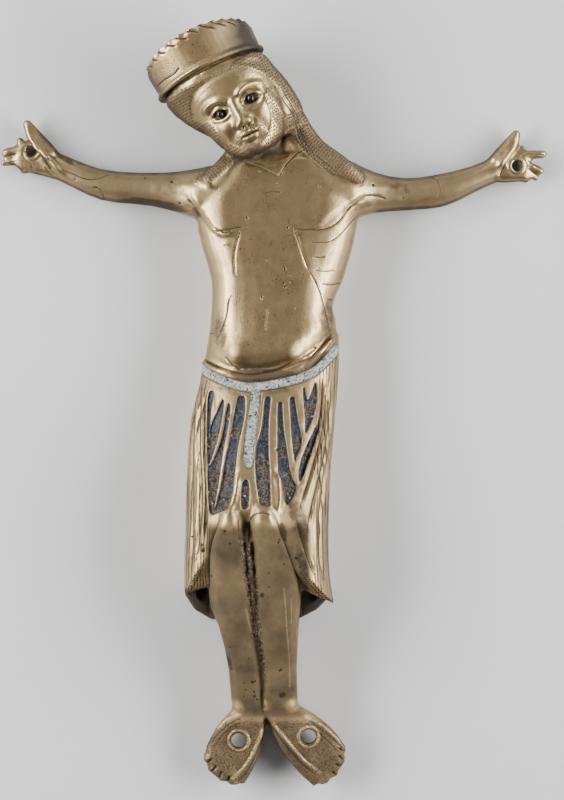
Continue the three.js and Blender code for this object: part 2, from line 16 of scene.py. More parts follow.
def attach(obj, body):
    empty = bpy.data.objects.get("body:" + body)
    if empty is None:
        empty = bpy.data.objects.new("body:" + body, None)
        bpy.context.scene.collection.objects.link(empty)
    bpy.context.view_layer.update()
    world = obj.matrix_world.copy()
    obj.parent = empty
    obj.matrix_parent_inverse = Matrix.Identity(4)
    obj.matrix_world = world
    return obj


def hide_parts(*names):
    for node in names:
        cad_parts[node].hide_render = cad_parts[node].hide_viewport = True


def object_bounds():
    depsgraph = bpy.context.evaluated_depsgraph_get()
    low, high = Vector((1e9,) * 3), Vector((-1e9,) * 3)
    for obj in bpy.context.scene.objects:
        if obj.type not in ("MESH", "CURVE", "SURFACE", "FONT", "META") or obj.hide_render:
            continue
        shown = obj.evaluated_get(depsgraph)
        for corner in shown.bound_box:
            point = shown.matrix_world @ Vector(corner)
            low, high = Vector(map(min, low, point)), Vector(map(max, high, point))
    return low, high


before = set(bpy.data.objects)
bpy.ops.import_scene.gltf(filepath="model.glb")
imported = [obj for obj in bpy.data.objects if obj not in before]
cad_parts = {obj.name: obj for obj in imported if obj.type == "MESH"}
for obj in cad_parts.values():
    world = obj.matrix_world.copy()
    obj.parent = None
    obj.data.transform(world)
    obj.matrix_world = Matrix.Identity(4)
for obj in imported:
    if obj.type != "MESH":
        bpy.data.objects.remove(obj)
cad_low, cad_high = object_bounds()
print("the part measures", [round(1000 * size, 1) for size in cad_high - cad_low], "mm")

# %% [markdown]
# Places on the figure were read off the photograph as columns and rows of its pixels. One scale turns them
# into places on the part: the rows of the crown's top and of the toes are as far apart as the part is long.
# Lines that were engraved by hand are lists of such places, in the order in which the graver went.

# %% From the photograph's pixels to the part
MM = 0.001
CROWN_ROW, TOES_ROW, MIDDLE_COLUMN = 20.3, 787.3, 273.7
PHOTO_SIZE = (564, 800)
PIXEL = (cad_high.y - cad_low.y) / (TOES_ROW - CROWN_ROW) / MM
MIDDLE_ROW = (CROWN_ROW + TOES_ROW) / 2


def on_part(places):
    """Photograph pixels as x and y on the part, in millimetres."""
    places = np.asarray(places, float)
    return np.stack([(places[..., 0] - MIDDLE_COLUMN) * PIXEL, (MIDDLE_ROW - places[..., 1]) * PIXEL], -1)


print("one pixel is", round(PIXEL, 4), "mm")

# %% [markdown]
# The camera looks straight down, as the photograph does at a figure that is upright. A very long lens keeps
# the outline true: the knees are nearer to it than the arms, and must not grow.

# %% Camera
LENS, SENSOR = 250, 36
RELIEF_HEIGHT = 0.008  # the height at which the outline is drawn true, in metres


def add_object(name, data):
    """Puts a mesh, a camera or a lamp into the scene."""
    made = bpy.data.objects.new(name, data)
    bpy.context.scene.collection.objects.link(made)
    return made


def add_camera():
    eye = bpy.data.cameras.new("camera")
    eye.lens, eye.sensor_width = LENS, SENSOR
    eye.clip_start, eye.clip_end = 0.05, 20
    holder = add_object("camera", eye)
    wide, tall = PHOTO_SIZE
    middle = on_part((wide / 2, tall / 2)) * MM
    holder.location = (*middle, RELIEF_HEIGHT + tall * PIXEL * MM * LENS / SENSOR)
    bpy.context.scene.camera = holder
    return holder


camera = add_camera()
print("the camera is", round(camera.location.z, 3), "m up")

# %% [markdown]
# Metal shows its surroundings, so the lights are the picture. Two long soft boxes stand low at the left and
# the right: they draw the bright stripes down both sides of the trunk and along the arms. A large dim one
# hangs overhead, and that is what the flat chest and belly show. The rest of the room is dark.

# %% Lights
ROOM_GREY = (0.035, 0.035, 0.037)
LIT_PLACE = Vector((0, 0, 0.01))
SOFT_BOXES = (  # name, place and size in metres, power in watts
    ("soft_box_left", (-0.66, 0.08, 0.37), (0.9, 0.28), 14),
    ("soft_box_right", (0.66, 0.04, 0.35), (0.9, 0.26), 13),
    ("soft_box_head", (-0.10, 0.80, 0.55), (0.6, 0.3), 1.2),
    ("soft_box_overhead", (0.0, -0.05, 1.25), (1.3, 1.6), 1.6),
)


def add_soft_box(name, place, size, watts):
    lamp = bpy.data.lights.new(name, "AREA")
    lamp.shape = "RECTANGLE"
    lamp.size, lamp.size_y = size
    lamp.energy = watts
    box = add_object(name, lamp)
    box.location = place
    box.rotation_euler = (LIT_PLACE - Vector(place)).to_track_quat("-Z", "Y").to_euler()
    box.visible_camera = False


def add_room():
    room = bpy.data.worlds.new("room")
    room.use_nodes = True
    room.node_tree.nodes["Background"].inputs["Color"].default_value = (*ROOM_GREY, 1)
    bpy.context.scene.world = room


add_room()
for soft_box in SOFT_BOXES:
    add_soft_box(*soft_box)
print("hung", len(SOFT_BOXES), "soft boxes")

# %% [markdown]
# Every finish below is worked out by formula, and a formula reads better as arithmetic than as a net of
# nodes. A Shade wraps one socket: adding two of them adds a Math node. All other nodes come from node().

# %% Shader arithmetic
class Shade:
    """A number in a shader. Sums and products of Shades become Math nodes."""

    def __init__(self, finish, socket):
        self.finish, self.socket = finish, socket

    def maths(self, operation, *others):
        return self.finish.node("Math", {"operation": operation}, dict(enumerate((self, *others))))

    def __add__(self, other):
        return self.maths("ADD", other)

    def __sub__(self, other):
        return self.maths("SUBTRACT", other)

    def __rsub__(self, other):
        return self.finish.node("Math", {"operation": "SUBTRACT"}, {0: other, 1: self})

    def __mul__(self, other):
        return self.maths("MULTIPLY", other)

    __radd__ = __add__
    __rmul__ = __mul__

    def rise(self, low, high):
        """0 below low, 1 above high, smooth between them. High may be the lower of the two."""
        inputs = {"Value": self, "From Min": low, "From Max": high}
        return self.finish.node("MapRange", {"interpolation_type": "SMOOTHSTEP"}, inputs)

    def most(self, other):
        return self.maths("MAXIMUM", other)

    def least(self, other):
        return self.maths("MINIMUM", other)


class Finish:
    """A material that is built up by formulas."""

    def __init__(self, name):
        self.material = bpy.data.materials.new(name)
        self.material.use_nodes = True
        self.tree = self.material.node_tree
        self.shader = self.tree.nodes["Principled BSDF"]

    def node(self, kind, settings=None, inputs=None, out=0):
        made = self.tree.nodes.new("ShaderNode" + kind)
        for key, value in (settings or {}).items():
            setattr(made, key, value)
        for key, value in (inputs or {}).items():
            self.feed(made.inputs[key], value)
        return Shade(self, made.outputs[out])

    def feed(self, socket, value):
        if isinstance(value, Shade):
            self.tree.links.new(value.socket, socket)
        else:
            socket.default_value = value

    def where(self):
        return self.node("TexCoord", out="Object")

    def noise(self, size_mm, detail=3, roughness=0.55, stretch=None):
        """Noise whose lumps are about that many millimetres across, from 0 to 1."""
        place = self.where()
        if stretch:
            place = self.node("Mapping", None, {"Vector": place, "Scale": stretch})
        inputs = {"Vector": place, "Scale": 1 / (size_mm * MM), "Detail": detail, "Roughness": roughness}
        return self.node("TexNoise", None, inputs)

    def crumbs(self, size_mm):
        """Grains of about that size, each with a value of its own from 0 to 1."""
        return self.node("TexVoronoi", None, {"Vector": self.where(), "Scale": 1 / (size_mm * MM)}, out=1)

    def measured(self, name):
        """A number that was worked out for each point of the mesh."""
        return self.node("Attribute", {"attribute_name": name}, out="Fac")

    def mix(self, share, first, second):
        """A colour between two colours."""
        sockets = {0: share, 6: self.colour(first), 7: self.colour(second)}
        return self.node("Mix", {"data_type": "RGBA"}, sockets, out=2)

    def colour(self, value):
        return value if isinstance(value, Shade) else (*value, 1)

    def bump(self, height, depth_mm):
        return self.node("Bump", None, {"Height": height, "Distance": depth_mm * MM, "Strength": 1.0})

    def dress(self, **sockets):
        for key, value in sockets.items():
            self.feed(self.shader.inputs[key.replace("_", " ")], value)
        return self.material


print("shader arithmetic is ready")

# %% [markdown]
# A studio table of pale card, so wide that its edge is never seen. It has a faint mottling, because a
# perfectly even grey looks painted on.

# %% Table
CARD, LIGHT_CARD = (0.64, 0.64, 0.64), (0.70, 0.70, 0.695)
TABLE_HALF = 3.0


def mesh_of(work, name):
    """Turns what was modelled in a bmesh into a mesh."""
    mesh = bpy.data.meshes.new(name)
    work.to_mesh(mesh)
    work.free()
    return mesh


def add_table():
    sheet = bmesh.new()
    bmesh.ops.create_grid(sheet, x_segments=2, y_segments=2, size=TABLE_HALF)
    table = add_object("table", mesh_of(sheet, "table"))
    card = Finish("pale_card")
    mottled = card.mix(card.noise(60, 4), CARD, LIGHT_CARD)
    table.data.materials.append(card.dress(Base_Color=mottled, Roughness=0.75))


add_table()
print("laid a table", 2 * TABLE_HALF, "m wide")

# %% [markdown]
# The casting's solid is a few thousand flat triangles. It becomes a smooth skin in three steps: a copy of its
# mesh is merged into one surface, a voxel remesh gives that surface small even squares to model with, and
# relaxing takes the flats out. Plain relaxing shrinks thin limbs, so each pass in is followed by a pass out,
# which keeps fingers and arms at their thickness.

# %% A skin to model
SKIN_SQUARE = 0.5
SAME_PLACE = 1e-7


def piece_from(node, name):
    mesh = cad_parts[node].data.copy()
    mesh.name = name
    mesh.materials.clear()
    work = bmesh.new()
    work.from_mesh(mesh)
    bmesh.ops.remove_doubles(work, verts=work.verts, dist=SAME_PLACE)
    work.to_mesh(mesh)
    work.free()
    return add_object(name, mesh)


def apply_modifiers(piece):
    bpy.context.view_layer.update()
    shown = piece.evaluated_get(bpy.context.evaluated_depsgraph_get())
    made = bpy.data.meshes.new_from_object(shown)
    made.name = piece.name
    piece.modifiers.clear()
    piece.data = made


def remesh(piece, square_mm):
    even = piece.modifiers.new("even squares", "REMESH")
    even.mode = "VOXEL"
    even.voxel_size = square_mm * MM
    even.use_smooth_shade = True
    apply_modifiers(piece)


class Skin:
    """The points of a mesh in millimetres, which carving moves and measures."""

    def __init__(self, piece):
        self.piece = piece
        self.read()

    def read(self):
        mesh = self.piece.data
        count = len(mesh.vertices)
        self.points = np.empty(count * 3)
        mesh.vertices.foreach_get("co", self.points)
        self.points = self.points.reshape(-1, 3) / MM
        self.edges = np.empty(len(mesh.edges) * 2, np.int32)
        mesh.edges.foreach_get("vertices", self.edges)
        self.edges = self.edges.reshape(-1, 2)
        self.neighbours = np.bincount(self.edges.ravel(), minlength=count)[:, None]
        self.turn_normals()

    def turn_normals(self):
        self.write()
        normals = np.empty(len(self.points) * 3)
        self.piece.data.vertex_normals.foreach_get("vector", normals)
        self.normals = normals.reshape(-1, 3)

    def write(self):
        self.piece.data.vertices.foreach_set("co", (self.points * MM).ravel())
        self.piece.data.update()

    def average(self, values):
        """What each point's neighbours have on average."""
        (one, other), count = self.edges.T, len(self.points)
        total = [
            np.bincount(one, column[other], count) + np.bincount(other, column[one], count)
            for column in values.reshape(count, -1).T
        ]
        return (np.stack(total, -1) / self.neighbours).reshape(values.shape)

    def relax(self, rounds, share, swell=-0.53):
        """Takes the flats out where share is 1, and leaves what has 0."""
        share = np.broadcast_to(share, len(self.points))[:, None]
        for _ in range(rounds):
            for step in (0.5, swell):
                self.points += step * share * (self.average(self.points) - self.points)
        self.turn_normals()

    def push(self, height):
        """Moves the points out along their normals, by millimetres."""
        self.points += self.normals * height[:, None]

    def notes(self, **measures):
        """Keeps numbers for each point, for the finish to read."""
        for name, values in measures.items():
            kept = self.piece.data.attributes.new(name, "FLOAT", "POINT")
            kept.data.foreach_set("value", values.astype(np.float32))


def smooth(values, low, high):
    """0 below low, 1 above high, smooth between them."""
    share = np.clip((values - low) / (high - low), 0, 1)
    return share * share * (3 - 2 * share)


corpus = piece_from("corpus", "corpus_casting")
remesh(corpus, SKIN_SQUARE)
skin = Skin(corpus)
print("the casting's skin has", len(skin.points), "points")

# %% [markdown]
# The head leans to one side, so its carving is placed on axes of its own: across the face, up it and out of
# it. They start from the middle of the head.

# %% The head's own axes
HEAD_MIDDLE = (-10.88, 78.04, 13.17)
HEAD_TURNS = (("Z", 27.5), ("Y", -8.0), ("X", 4.0))
head_turn = Matrix.Identity(3)
for axis, degrees in HEAD_TURNS:
    head_turn = head_turn @ Matrix.Rotation(math.radians(degrees), 3, axis)
head_turn = np.array(head_turn)


def on_head(points):
    """Points of the part as places across, up and out of the head."""
    return (points - np.array(HEAD_MIDDLE)) @ head_turn


print("the face looks along", np.round(head_turn[:, 2], 2))

# %% [markdown]
# Relaxing is strong on the body and weak where the form is small: on the face, the fingers and the toes. The
# sharp edge all round the flat back is left alone. The chest gets a second, longer pass, because three bodies
# of the casting meet there.

# %% Relax the casting
BODY_ROUNDS, FACE_ROUNDS, PALM_ROUNDS, TIP_ROUNDS, CHEST_ROUNDS = 45, 12, 32, 5, 160


def window(values, low, high, soft):
    """1 between low and high, falling to 0 over a soft border."""
    return smooth(values, low - soft, low) * (1 - smooth(values, high, high + soft))


def relax_casting():
    x, y, z = skin.points.T
    across, up, out = on_head(skin.points).T
    off_the_back = smooth(z, 0.3, 1.4)
    face = smooth(out, 3, 6) * window(up, -14, 7, 2) * window(across, -9, 12, 2)
    fingers = smooth(np.abs(x), 61, 65)
    toes = smooth(-y, 89, 93)
    palms = smooth(np.abs(x), 55, 59) - fingers
    small = np.maximum(np.maximum(face, palms + fingers), toes)
    skin.relax(BODY_ROUNDS, off_the_back * (1 - small))
    skin.relax(FACE_ROUNDS, off_the_back * face)
    skin.relax(PALM_ROUNDS, off_the_back * palms)
    skin.relax(TIP_ROUNDS, off_the_back * np.maximum(fingers, toes))
    chest = window(x, -16, 18, 6) * window(y, 46, 58, 5) * smooth(z, 8, 11)
    skin.relax(CHEST_ROUNDS, chest, swell=-0.5)


relax_casting()
print("the casting is smooth")

# %% [markdown]
# A graver leaves a line, and a cell of enamel has an outline. Both are kept as a few places and rounded by
# cutting their corners. Two measures on the plane do all the rest of the work: how far a point lies from a
# line, and how deep it lies inside an outline.

# %% Lines and outlines
def rounded(places, closed=False, rounds=2):
    """A line or outline with its corners cut twice, so that it runs smoothly."""
    places = np.asarray(places, float)
    for _ in range(rounds):
        following = np.roll(places, -1, 0) if closed else places[1:]
        here = places if closed else places[:-1]
        cut = np.stack([0.75 * here + 0.25 * following, 0.25 * here + 0.75 * following], 1).reshape(-1, 2)
        places = cut if closed else np.vstack([places[:1], cut, places[-1:]])
    return places


def beside(points, line, reach):
    """Which points are within reach of a line, how far off they are, on which side and how far along."""
    near = np.flatnonzero(((points > line.min(0) - reach) & (points < line.max(0) + reach)).all(1))
    run = np.diff(line, axis=0)
    length = np.hypot(*run.T)
    gap = points[near, None] - line[:-1]
    share = np.clip((gap * run).sum(-1) / length**2, 0, 1)
    distance = np.hypot(*np.moveaxis(gap - share[..., None] * run, -1, 0))
    row, best = np.arange(len(near)), distance.argmin(1)
    gap, run_there = gap[row, best], run[best]
    side = np.sign(run_there[:, 0] * gap[:, 1] - run_there[:, 1] * gap[:, 0])
    before = np.concatenate([[0], np.cumsum(length)])
    along = (before[best] + share[row, best] * length[best]) / before[-1]
    kept = distance[row, best] < reach
    return near[kept], distance[row, best][kept], side[kept], along[kept]


def inside(points, outline, reach=2.0):
    """How far points lie inside an outline, in millimetres: below 0 outside it, and -reach far away."""
    ring = np.vstack([outline, outline[:1]])
    depth = np.full(len(points), -reach)
    near, distance, _, _ = beside(points, ring, reach)
    depth[near] = -distance
    boxed = np.flatnonzero(((points > outline.min(0)) & (points < outline.max(0))).all(1))
    px, py = points[boxed, None].transpose(2, 0, 1)
    (x0, y0), (x1, y1) = ring[:-1].T, ring[1:].T
    crosses = ((y0 > py) != (y1 > py)) & (px < x0 + (x1 - x0) * (py - y0) / np.where(y1 == y0, 1, y1 - y0))
    within = boxed[crosses.sum(1) % 2 == 1]
    depth[within] = np.abs(depth[within])
    return depth


def away_from(place, flat):
    """How far points lie from a place in the photograph, in millimetres."""
    return np.hypot(*(flat - on_part(place)).T)


def radii_from(spots, flat):
    """How far points lie from each spot, counted in the spot's own radius."""
    return [away_from((column, row), flat) / (radius * PIXEL) for column, row, radius in spots]


def drawn(lines):
    """Lines as they are used: half-width and height in millimetres, and a rounded line on the part."""
    return {name: (half, height, rounded(on_part(places))) for name, (half, height, places) in lines.items()}


print("lines can be measured")

# %% [markdown]
# The loincloth's enamel: ten cells between the folds, a belt, and a strip that hangs from the belt's middle.
# Above the belt runs a gilt cord. Each outline goes once round, by places read off the photograph.

# %% The loincloth's outlines
LOINCLOTH_CELLS = {
    "far_left": [(207.6, 390.6), (214.2, 390.6), (213.6, 397.9), (211.2, 408.8), (210.5, 425.8),
        (208.8, 451.2), (207, 463.3), (206.7, 427)],
    "left_blade": [(223.3, 398.8), (224.5, 401.5), (223.1, 414.8), (220.3, 429.4), (216.1, 446.4),
        (209.4, 465.8), (207.1, 467), (207.6, 445.2), (209, 433), (211, 425.2), (216.1, 413.6),
        (222.1, 400.3)],
    "left_third": [(229.4, 402.5), (231.2, 404.9), (229.4, 422.1), (223.3, 451.2), (220.9, 469.4),
        (218.5, 486.4), (213.9, 511.8), (211.2, 513.3), (209, 509.4), (208.1, 487.6), (207.2, 467),
        (211.8, 463.3), (218.5, 448.2), (223.3, 433), (227, 404.9)],
    "left_broad": [(237.9, 396.4), (241.5, 395.7), (245.2, 396.4), (245.8, 400.3), (245.2, 417.3),
        (237.9, 446.4), (236.1, 463.3), (234.2, 481.5), (231.8, 505.8), (218.5, 511.8), (210.6, 515.5),
        (216.7, 503.3), (222.1, 481.5), (225.2, 458.5), (229.4, 442.7), (232.8, 419.7), (236.1, 402.7)],
    "under_strip": [(242.7, 479.7), (248.8, 478.5), (250.2, 487.6), (249.4, 499.7), (248.8, 508.2),
        (241.5, 509.4), (240.9, 497.3), (241.8, 487.6)],
    "right_broad": [(265.8, 396.4), (271.2, 396.4), (271.2, 402.7), (269.4, 414.8), (268.8, 445.2),
        (270.6, 475.5), (271.2, 499.7), (270.6, 505.8), (260.3, 503.9), (259.1, 499.7), (256.1, 482.7),
        (254.8, 463.3), (256.1, 442.7), (260.3, 434.2), (263.3, 414.8), (263.9, 400.3)],
    "right_second": [(277.9, 402.1), (282.7, 402.1), (282.7, 405.2), (284.5, 433), (287, 445.2),
        (289.4, 463.3), (292.4, 479.1), (298.5, 487.6), (291.2, 499.7), (286.4, 505.8), (283.9, 493.6),
        (279.7, 481.5), (277.3, 463.3), (277.3, 405.2)],
    "right_third": [(289.4, 396.9), (294.8, 396.9), (295.5, 401.5), (298.5, 420.9), (302.1, 436.7),
        (302.7, 446.4), (296.1, 457.3), (294.8, 464.5), (292.4, 445.2), (291.2, 433), (289.4, 402.7)],
    "right_horn": [(302.1, 387.9), (304.8, 387), (306.4, 397.9), (307.2, 400.5), (309.4, 397.9),
        (314.8, 382.1), (316.7, 383.3), (317.3, 402.7), (313, 419.7), (305.8, 434.2), (304.8, 431.8),
        (305.2, 420.9), (303.6, 402.7)],
    "right_blade": [(315.5, 424.5), (317.6, 427), (316.9, 435.5), (311.2, 451.2), (307, 467), (302.7, 476.7),
        (298.7, 482.1), (297.9, 475.5), (300.3, 460.9), (305.8, 446.4), (311.8, 434.2)],
}
STRIP = [
    (251.8, 382), (250.6, 400), (247.6, 422.1), (245.2, 439.1), (243.3, 463.3), (247, 467.5), (252.4, 468.2),
    (254.8, 445.2), (257.2, 427), (260, 400), (261, 382),
]
BELT = [
    (200.5, 366), (204.5, 370), (210.6, 374.6), (221.5, 380), (234.2, 384.6), (246.4, 387.6), (258, 387.2),
    (272, 384.8), (288.2, 381.6), (300.3, 378.4), (312.4, 373), (322.8, 364.6), (331.8, 354.2), (336, 349),
]
CORD = [
    (198, 355), (205.2, 359.5), (218.5, 366.2), (233, 371.6), (245.2, 374), (254.8, 374), (273, 371),
    (288.8, 366.2), (303.3, 361.3), (315.5, 354), (331.2, 335.8),
]
cells = {name: rounded(on_part(outline), closed=True) for name, outline in LOINCLOTH_CELLS.items()}
strip = rounded(on_part(STRIP), closed=True, rounds=1)
belt = rounded(on_part(BELT))
cord = rounded(on_part(CORD))
print("drew", len(cells), "cells")

# %% [markdown]
# Each engraved line has its half-width and its depth in millimetres, and the places that the graver passed.
# Deep lines part the locks, the legs and the toes. Shallow ones mark ribs, creases and the breastbone.

# %% Engraved lines
TOE_NOTCHES = {  # from the edge of the foot inwards
    "left_1": [(204, 766), (211.5, 759)], "left_2": [(210, 774), (216.5, 766)],
    "left_3": [(217, 781), (222, 772)], "left_4": [(226.5, 786), (229.5, 776)],
    "right_1": [(347.5, 753), (339.5, 748.5)], "right_2": [(347, 761), (338.5, 756)],
    "right_3": [(344, 770), (335.5, 764)], "right_4": [(339.5, 780), (331.5, 772)],
}
ENGRAVED = {
    "collar_left": (0.16, 0.2, [(245, 163), (254, 166), (262, 169), (270, 173), (278, 178)]),
    "collar_right": (0.24, 0.35, [(302, 152), (296, 155), (290, 160), (284, 168), (279, 178)]),
    "breast_left": (0.22, 0.3, [(216, 231), (221, 232), (228, 231), (235, 229), (242, 228)]),
    "breast_left_below": (0.14, 0.12, [(222, 233), (227, 234), (232, 232)]),
    "breast_right": (0.2, 0.28, [(293, 229), (300, 230.5), (310, 231), (321, 231), (330, 228), (338, 223),
        (345, 215), (353, 205), (362, 197), (372, 195)]),
    "flank_left": (0.2, 0.26, [(241, 231), (238, 240), (235, 252), (234.5, 264), (236, 277)]),
    "flank_left_low": (0.17, 0.2, [(232, 296), (229, 303), (228, 312), (225, 322), (221, 332), (217, 340)]),
    "flank_right": (0.24, 0.32, [(294, 231), (298, 240), (301, 250), (305, 262), (309, 271)]),
    "flank_right_low": (0.15, 0.16, [(309, 271), (314, 281), (320, 293), (325, 310), (329, 326),
        (331, 336)]),
    "rib_1": (0.15, 0.16, [(311, 243), (320, 243.5), (328, 243), (336, 239), (345, 231), (352, 222),
        (359, 215)]),
    "rib_2": (0.15, 0.14, [(313, 257), (319, 258.5), (325, 257)]),
    "rib_3": (0.15, 0.14, [(315, 271), (324, 272), (334, 271)]),
    "rib_4": (0.22, 0.2, [(322, 284), (330, 286), (341, 283)]),
    "rib_5": (0.17, 0.16, [(327, 299), (333, 300.5), (338, 300)]),
    "rib_left": (0.22, -0.12, [(223, 245.5), (230, 245.5)]),
    "middle": (0.14, 0.16, [(267.5, 310), (267, 318), (265.5, 325), (265.5, 331)]),
    "breastbone": (0.14, 0.1, [(265, 194.5), (272, 192), (281, 193.5)]),
    "arm_left_crease": (0.2, 0.22, [(188, 200), (193, 204), (198, 209)]),
    "arm_right_crease": (0.22, 0.24, [(362, 197), (369, 195.5), (378, 196.5), (386, 199)]),
    "arm_left_long": (0.2, 0.22, [(62, 170), (72, 173), (82, 178), (91, 180), (100, 178), (108, 174)]),
    "arm_left_short": (0.18, 0.2, [(92, 187), (99, 188), (103, 194), (104, 200)]),
    "arm_right_long": (0.18, 0.18, [(428, 175.5), (433, 177), (438, 180), (441, 190), (438, 199)]),
    "belly_left": (0.22, 0.25, [(226, 357), (231, 362), (236, 367), (241, 371)]),
    "belly_right": (0.2, 0.22, [(262, 372), (272, 371), (282, 368), (292, 363)]),
    "hip_right": (0.22, 0.28, [(311, 368), (319, 361), (326, 351), (332, 341)]),
    "hip_right_upper": (0.17, 0.2, [(308, 360), (316, 352), (324, 342), (333, 333)]),
    "hip_left": (0.2, 0.2, [(208.5, 332), (211, 334), (213.5, 333)]),
    "knee_middle": (0.24, 0.4, [(249, 520), (249.8, 527), (249.5, 535), (248.5, 543)]),
    "knee_left_side": (0.2, 0.3, [(239, 519), (239.8, 526), (239.6, 533), (239, 540)]),
    "knee_right_ring": (0.18, 0.2, [(250, 521), (252, 515), (257, 512), (263, 511.6), (270, 513.5)]),
    "leg_left": (0.26, 0.5, [(219.5, 519), (215, 531), (211.5, 543), (209.7, 556), (209.2, 578),
        (208.8, 600), (208.6, 619)]),
    "leg_right": (0.28, 0.5, [(277, 520), (281, 531), (284.5, 541), (293, 565), (298.6, 580), (301.5, 599),
        (302.4, 618)]),
    "hair_fall_outer": (0.2, 0.25, [(283.5, 96), (292, 108), (297.5, 119), (301, 137), (309, 150),
        (322, 161), (337, 174)]),
    "hair_fall_inner": (0.2, 0.25, [(281, 99), (289.5, 110), (295, 121), (298.5, 139), (307, 153),
        (320, 165), (334, 177)]),
    "foot_left_rim": (0.2, 0.3, [(241, 718), (231, 722), (222.5, 729), (215, 736), (210.6, 743)]),
    "foot_left_rim_inner": (0.14, 0.14, [(241, 722), (232, 726), (224.5, 733), (218, 740), (213.5, 747)]),
    "foot_right_rim": (0.2, 0.3, [(309, 720), (323, 730), (334, 740), (342, 747)]),
    "foot_right_rim_inner": (0.14, 0.14, [(306, 723), (319, 733), (330, 743), (338, 751)]),
    **{name: (0.26 if "4" in name else 0.24, 1.0, notch) for name, notch in TOE_NOTCHES.items()},
    "foot_left_edge": (0.2, 0.25, [(269, 725), (262, 742), (255, 759), (248, 771), (238, 782)]),
    "foot_right_edge": (0.2, 0.25, [(270, 725), (281, 740), (292, 753), (303, 766), (316, 775)]),
    "palm_left_line": (0.2, 0.22, [(41, 156), (46, 162), (51, 169)]),
    "palm_left_line_low": (0.16, 0.18, [(44, 166), (48, 171), (52, 175)]),
    "palm_left_low": (0.14, 0.14, [(30, 165), (35, 170), (38, 176)]),
    "finger_left_1": (0.16, 0.2, [(16, 153), (10, 154.5), (4, 156)]),
    "finger_left_2": (0.16, 0.2, [(16, 160), (9, 161.5), (2, 163)]),
    "palm_right_line": (0.22, 0.3, [(500, 176), (503, 169), (506, 163)]),
    "finger_right_1": (0.15, 0.2, [(527, 153), (536, 153.5), (545, 154)]),
    "finger_right_2": (0.15, 0.2, [(529, 160), (536, 164), (543, 169)]),
    "finger_right_3": (0.15, 0.2, [(529, 168), (534, 172), (539, 176)]),
}
engraved = drawn(ENGRAVED)
print("drew", len(engraved), "engraved lines")

# %% [markdown]
# The cloth at both sides is cut in long folds, which are broader grooves. Ridges are what was left standing:
# the rims on hands and feet, a rib of cloth on each knee and a few scratches' burrs on the shins.

# %% Folds and ridges
FOLDS = {
    "left_outer": (0.5, 0.3, [(189.5, 400), (188, 430), (187, 470), (187.5, 520), (186.5, 565)]),
    "left_second": (0.45, 0.3, [(196.5, 386), (194, 416), (192.8, 446), (192.5, 492), (193, 522),
        (192.5, 572)]),
    "left_third": (0.5, 0.45, [(201.6, 384), (200.2, 401), (199.5, 416), (199.2, 446), (200.2, 462),
        (201.4, 477), (202.1, 500), (200, 530), (197, 560)]),
    "left_inner": (0.4, 0.35, [(205, 388), (204.8, 431), (204.9, 462), (205.8, 492), (207.4, 513),
        (204, 545)]),
    "right_first": (0.4, 0.5, [(322.6, 378), (322.7, 402), (319.3, 425), (311, 450), (304.5, 466),
        (299.5, 486)]),
    "right_second": (0.4, 0.42, [(326.5, 386), (325.8, 410), (321.5, 440), (314.5, 462), (307.5, 485),
        (299.5, 507)]),
    "right_third": (0.4, 0.4, [(330.5, 396), (329.4, 425), (324.5, 458), (318, 482), (311.5, 508),
        (306.5, 530)]),
    "right_fourth": (0.4, 0.35, [(331.2, 433), (329.5, 455), (323.5, 476), (322.1, 495), (318, 520),
        (318.5, 550), (323, 580)]),
    "right_outer": (0.4, 0.25, [(333.5, 450), (330.5, 480), (328, 510), (327.3, 545), (329.5, 585)]),
    "right_drape": (0.5, 0.4, [(296, 518), (301, 536), (307, 556), (314, 574)]),
}
RIDGES = {
    "foot_left": (0.4, 0.6, [(265, 724), (259, 739), (252, 756), (245, 767), (233, 779)]),
    "foot_right": (0.4, 0.6, [(274, 724), (283, 735), (294, 749), (305, 762), (320, 773)]),
    "foot_left_outer": (0.32, 0.35, [(240, 714), (228, 718), (219, 726), (211, 734), (206, 744)]),
    "foot_right_outer": (0.32, 0.35, [(306, 716), (321, 724), (334, 735), (344, 745)]),
    "shin_scratch_1": (0.15, 0.1, [(284, 587), (285.5, 604), (286, 619), (289, 656), (290, 687)]),
    "shin_scratch_2": (0.15, 0.08, [(291, 598), (291.5, 621)]),
    "shin_scratch_3": (0.15, 0.1, [(297, 629), (297.5, 652), (297, 677)]),
    "shin_scratch_4": (0.15, 0.08, [(246, 608), (249, 622), (252, 634)]),
    "palm_left": (0.65, 0.75, [(23.9, 123), (26.7, 132), (33, 142), (41, 151), (50, 160), (58, 169),
        (67, 176)]),
    "palm_right": (0.7, 0.35, [(523, 134), (517, 144), (508, 156), (499, 167), (489, 173)]),
    "knee_rib": (0.8, 0.6, [(277.5, 470), (279, 485), (280, 500), (276, 514)]),
    "knee_rib_left": (0.7, 0.4, [(238, 470), (237, 488), (233, 503), (229, 514)]),
}
folds, ridges = drawn(FOLDS), drawn(RIDGES)
print("drew", len(folds), "folds and", len(ridges), "ridges")

# %% [markdown]
# The nail holes are open in the solid, and only get a rim here. Gas in the melt left small pits, and a punch
# left rows of dots at the two lower corners of the cloth.

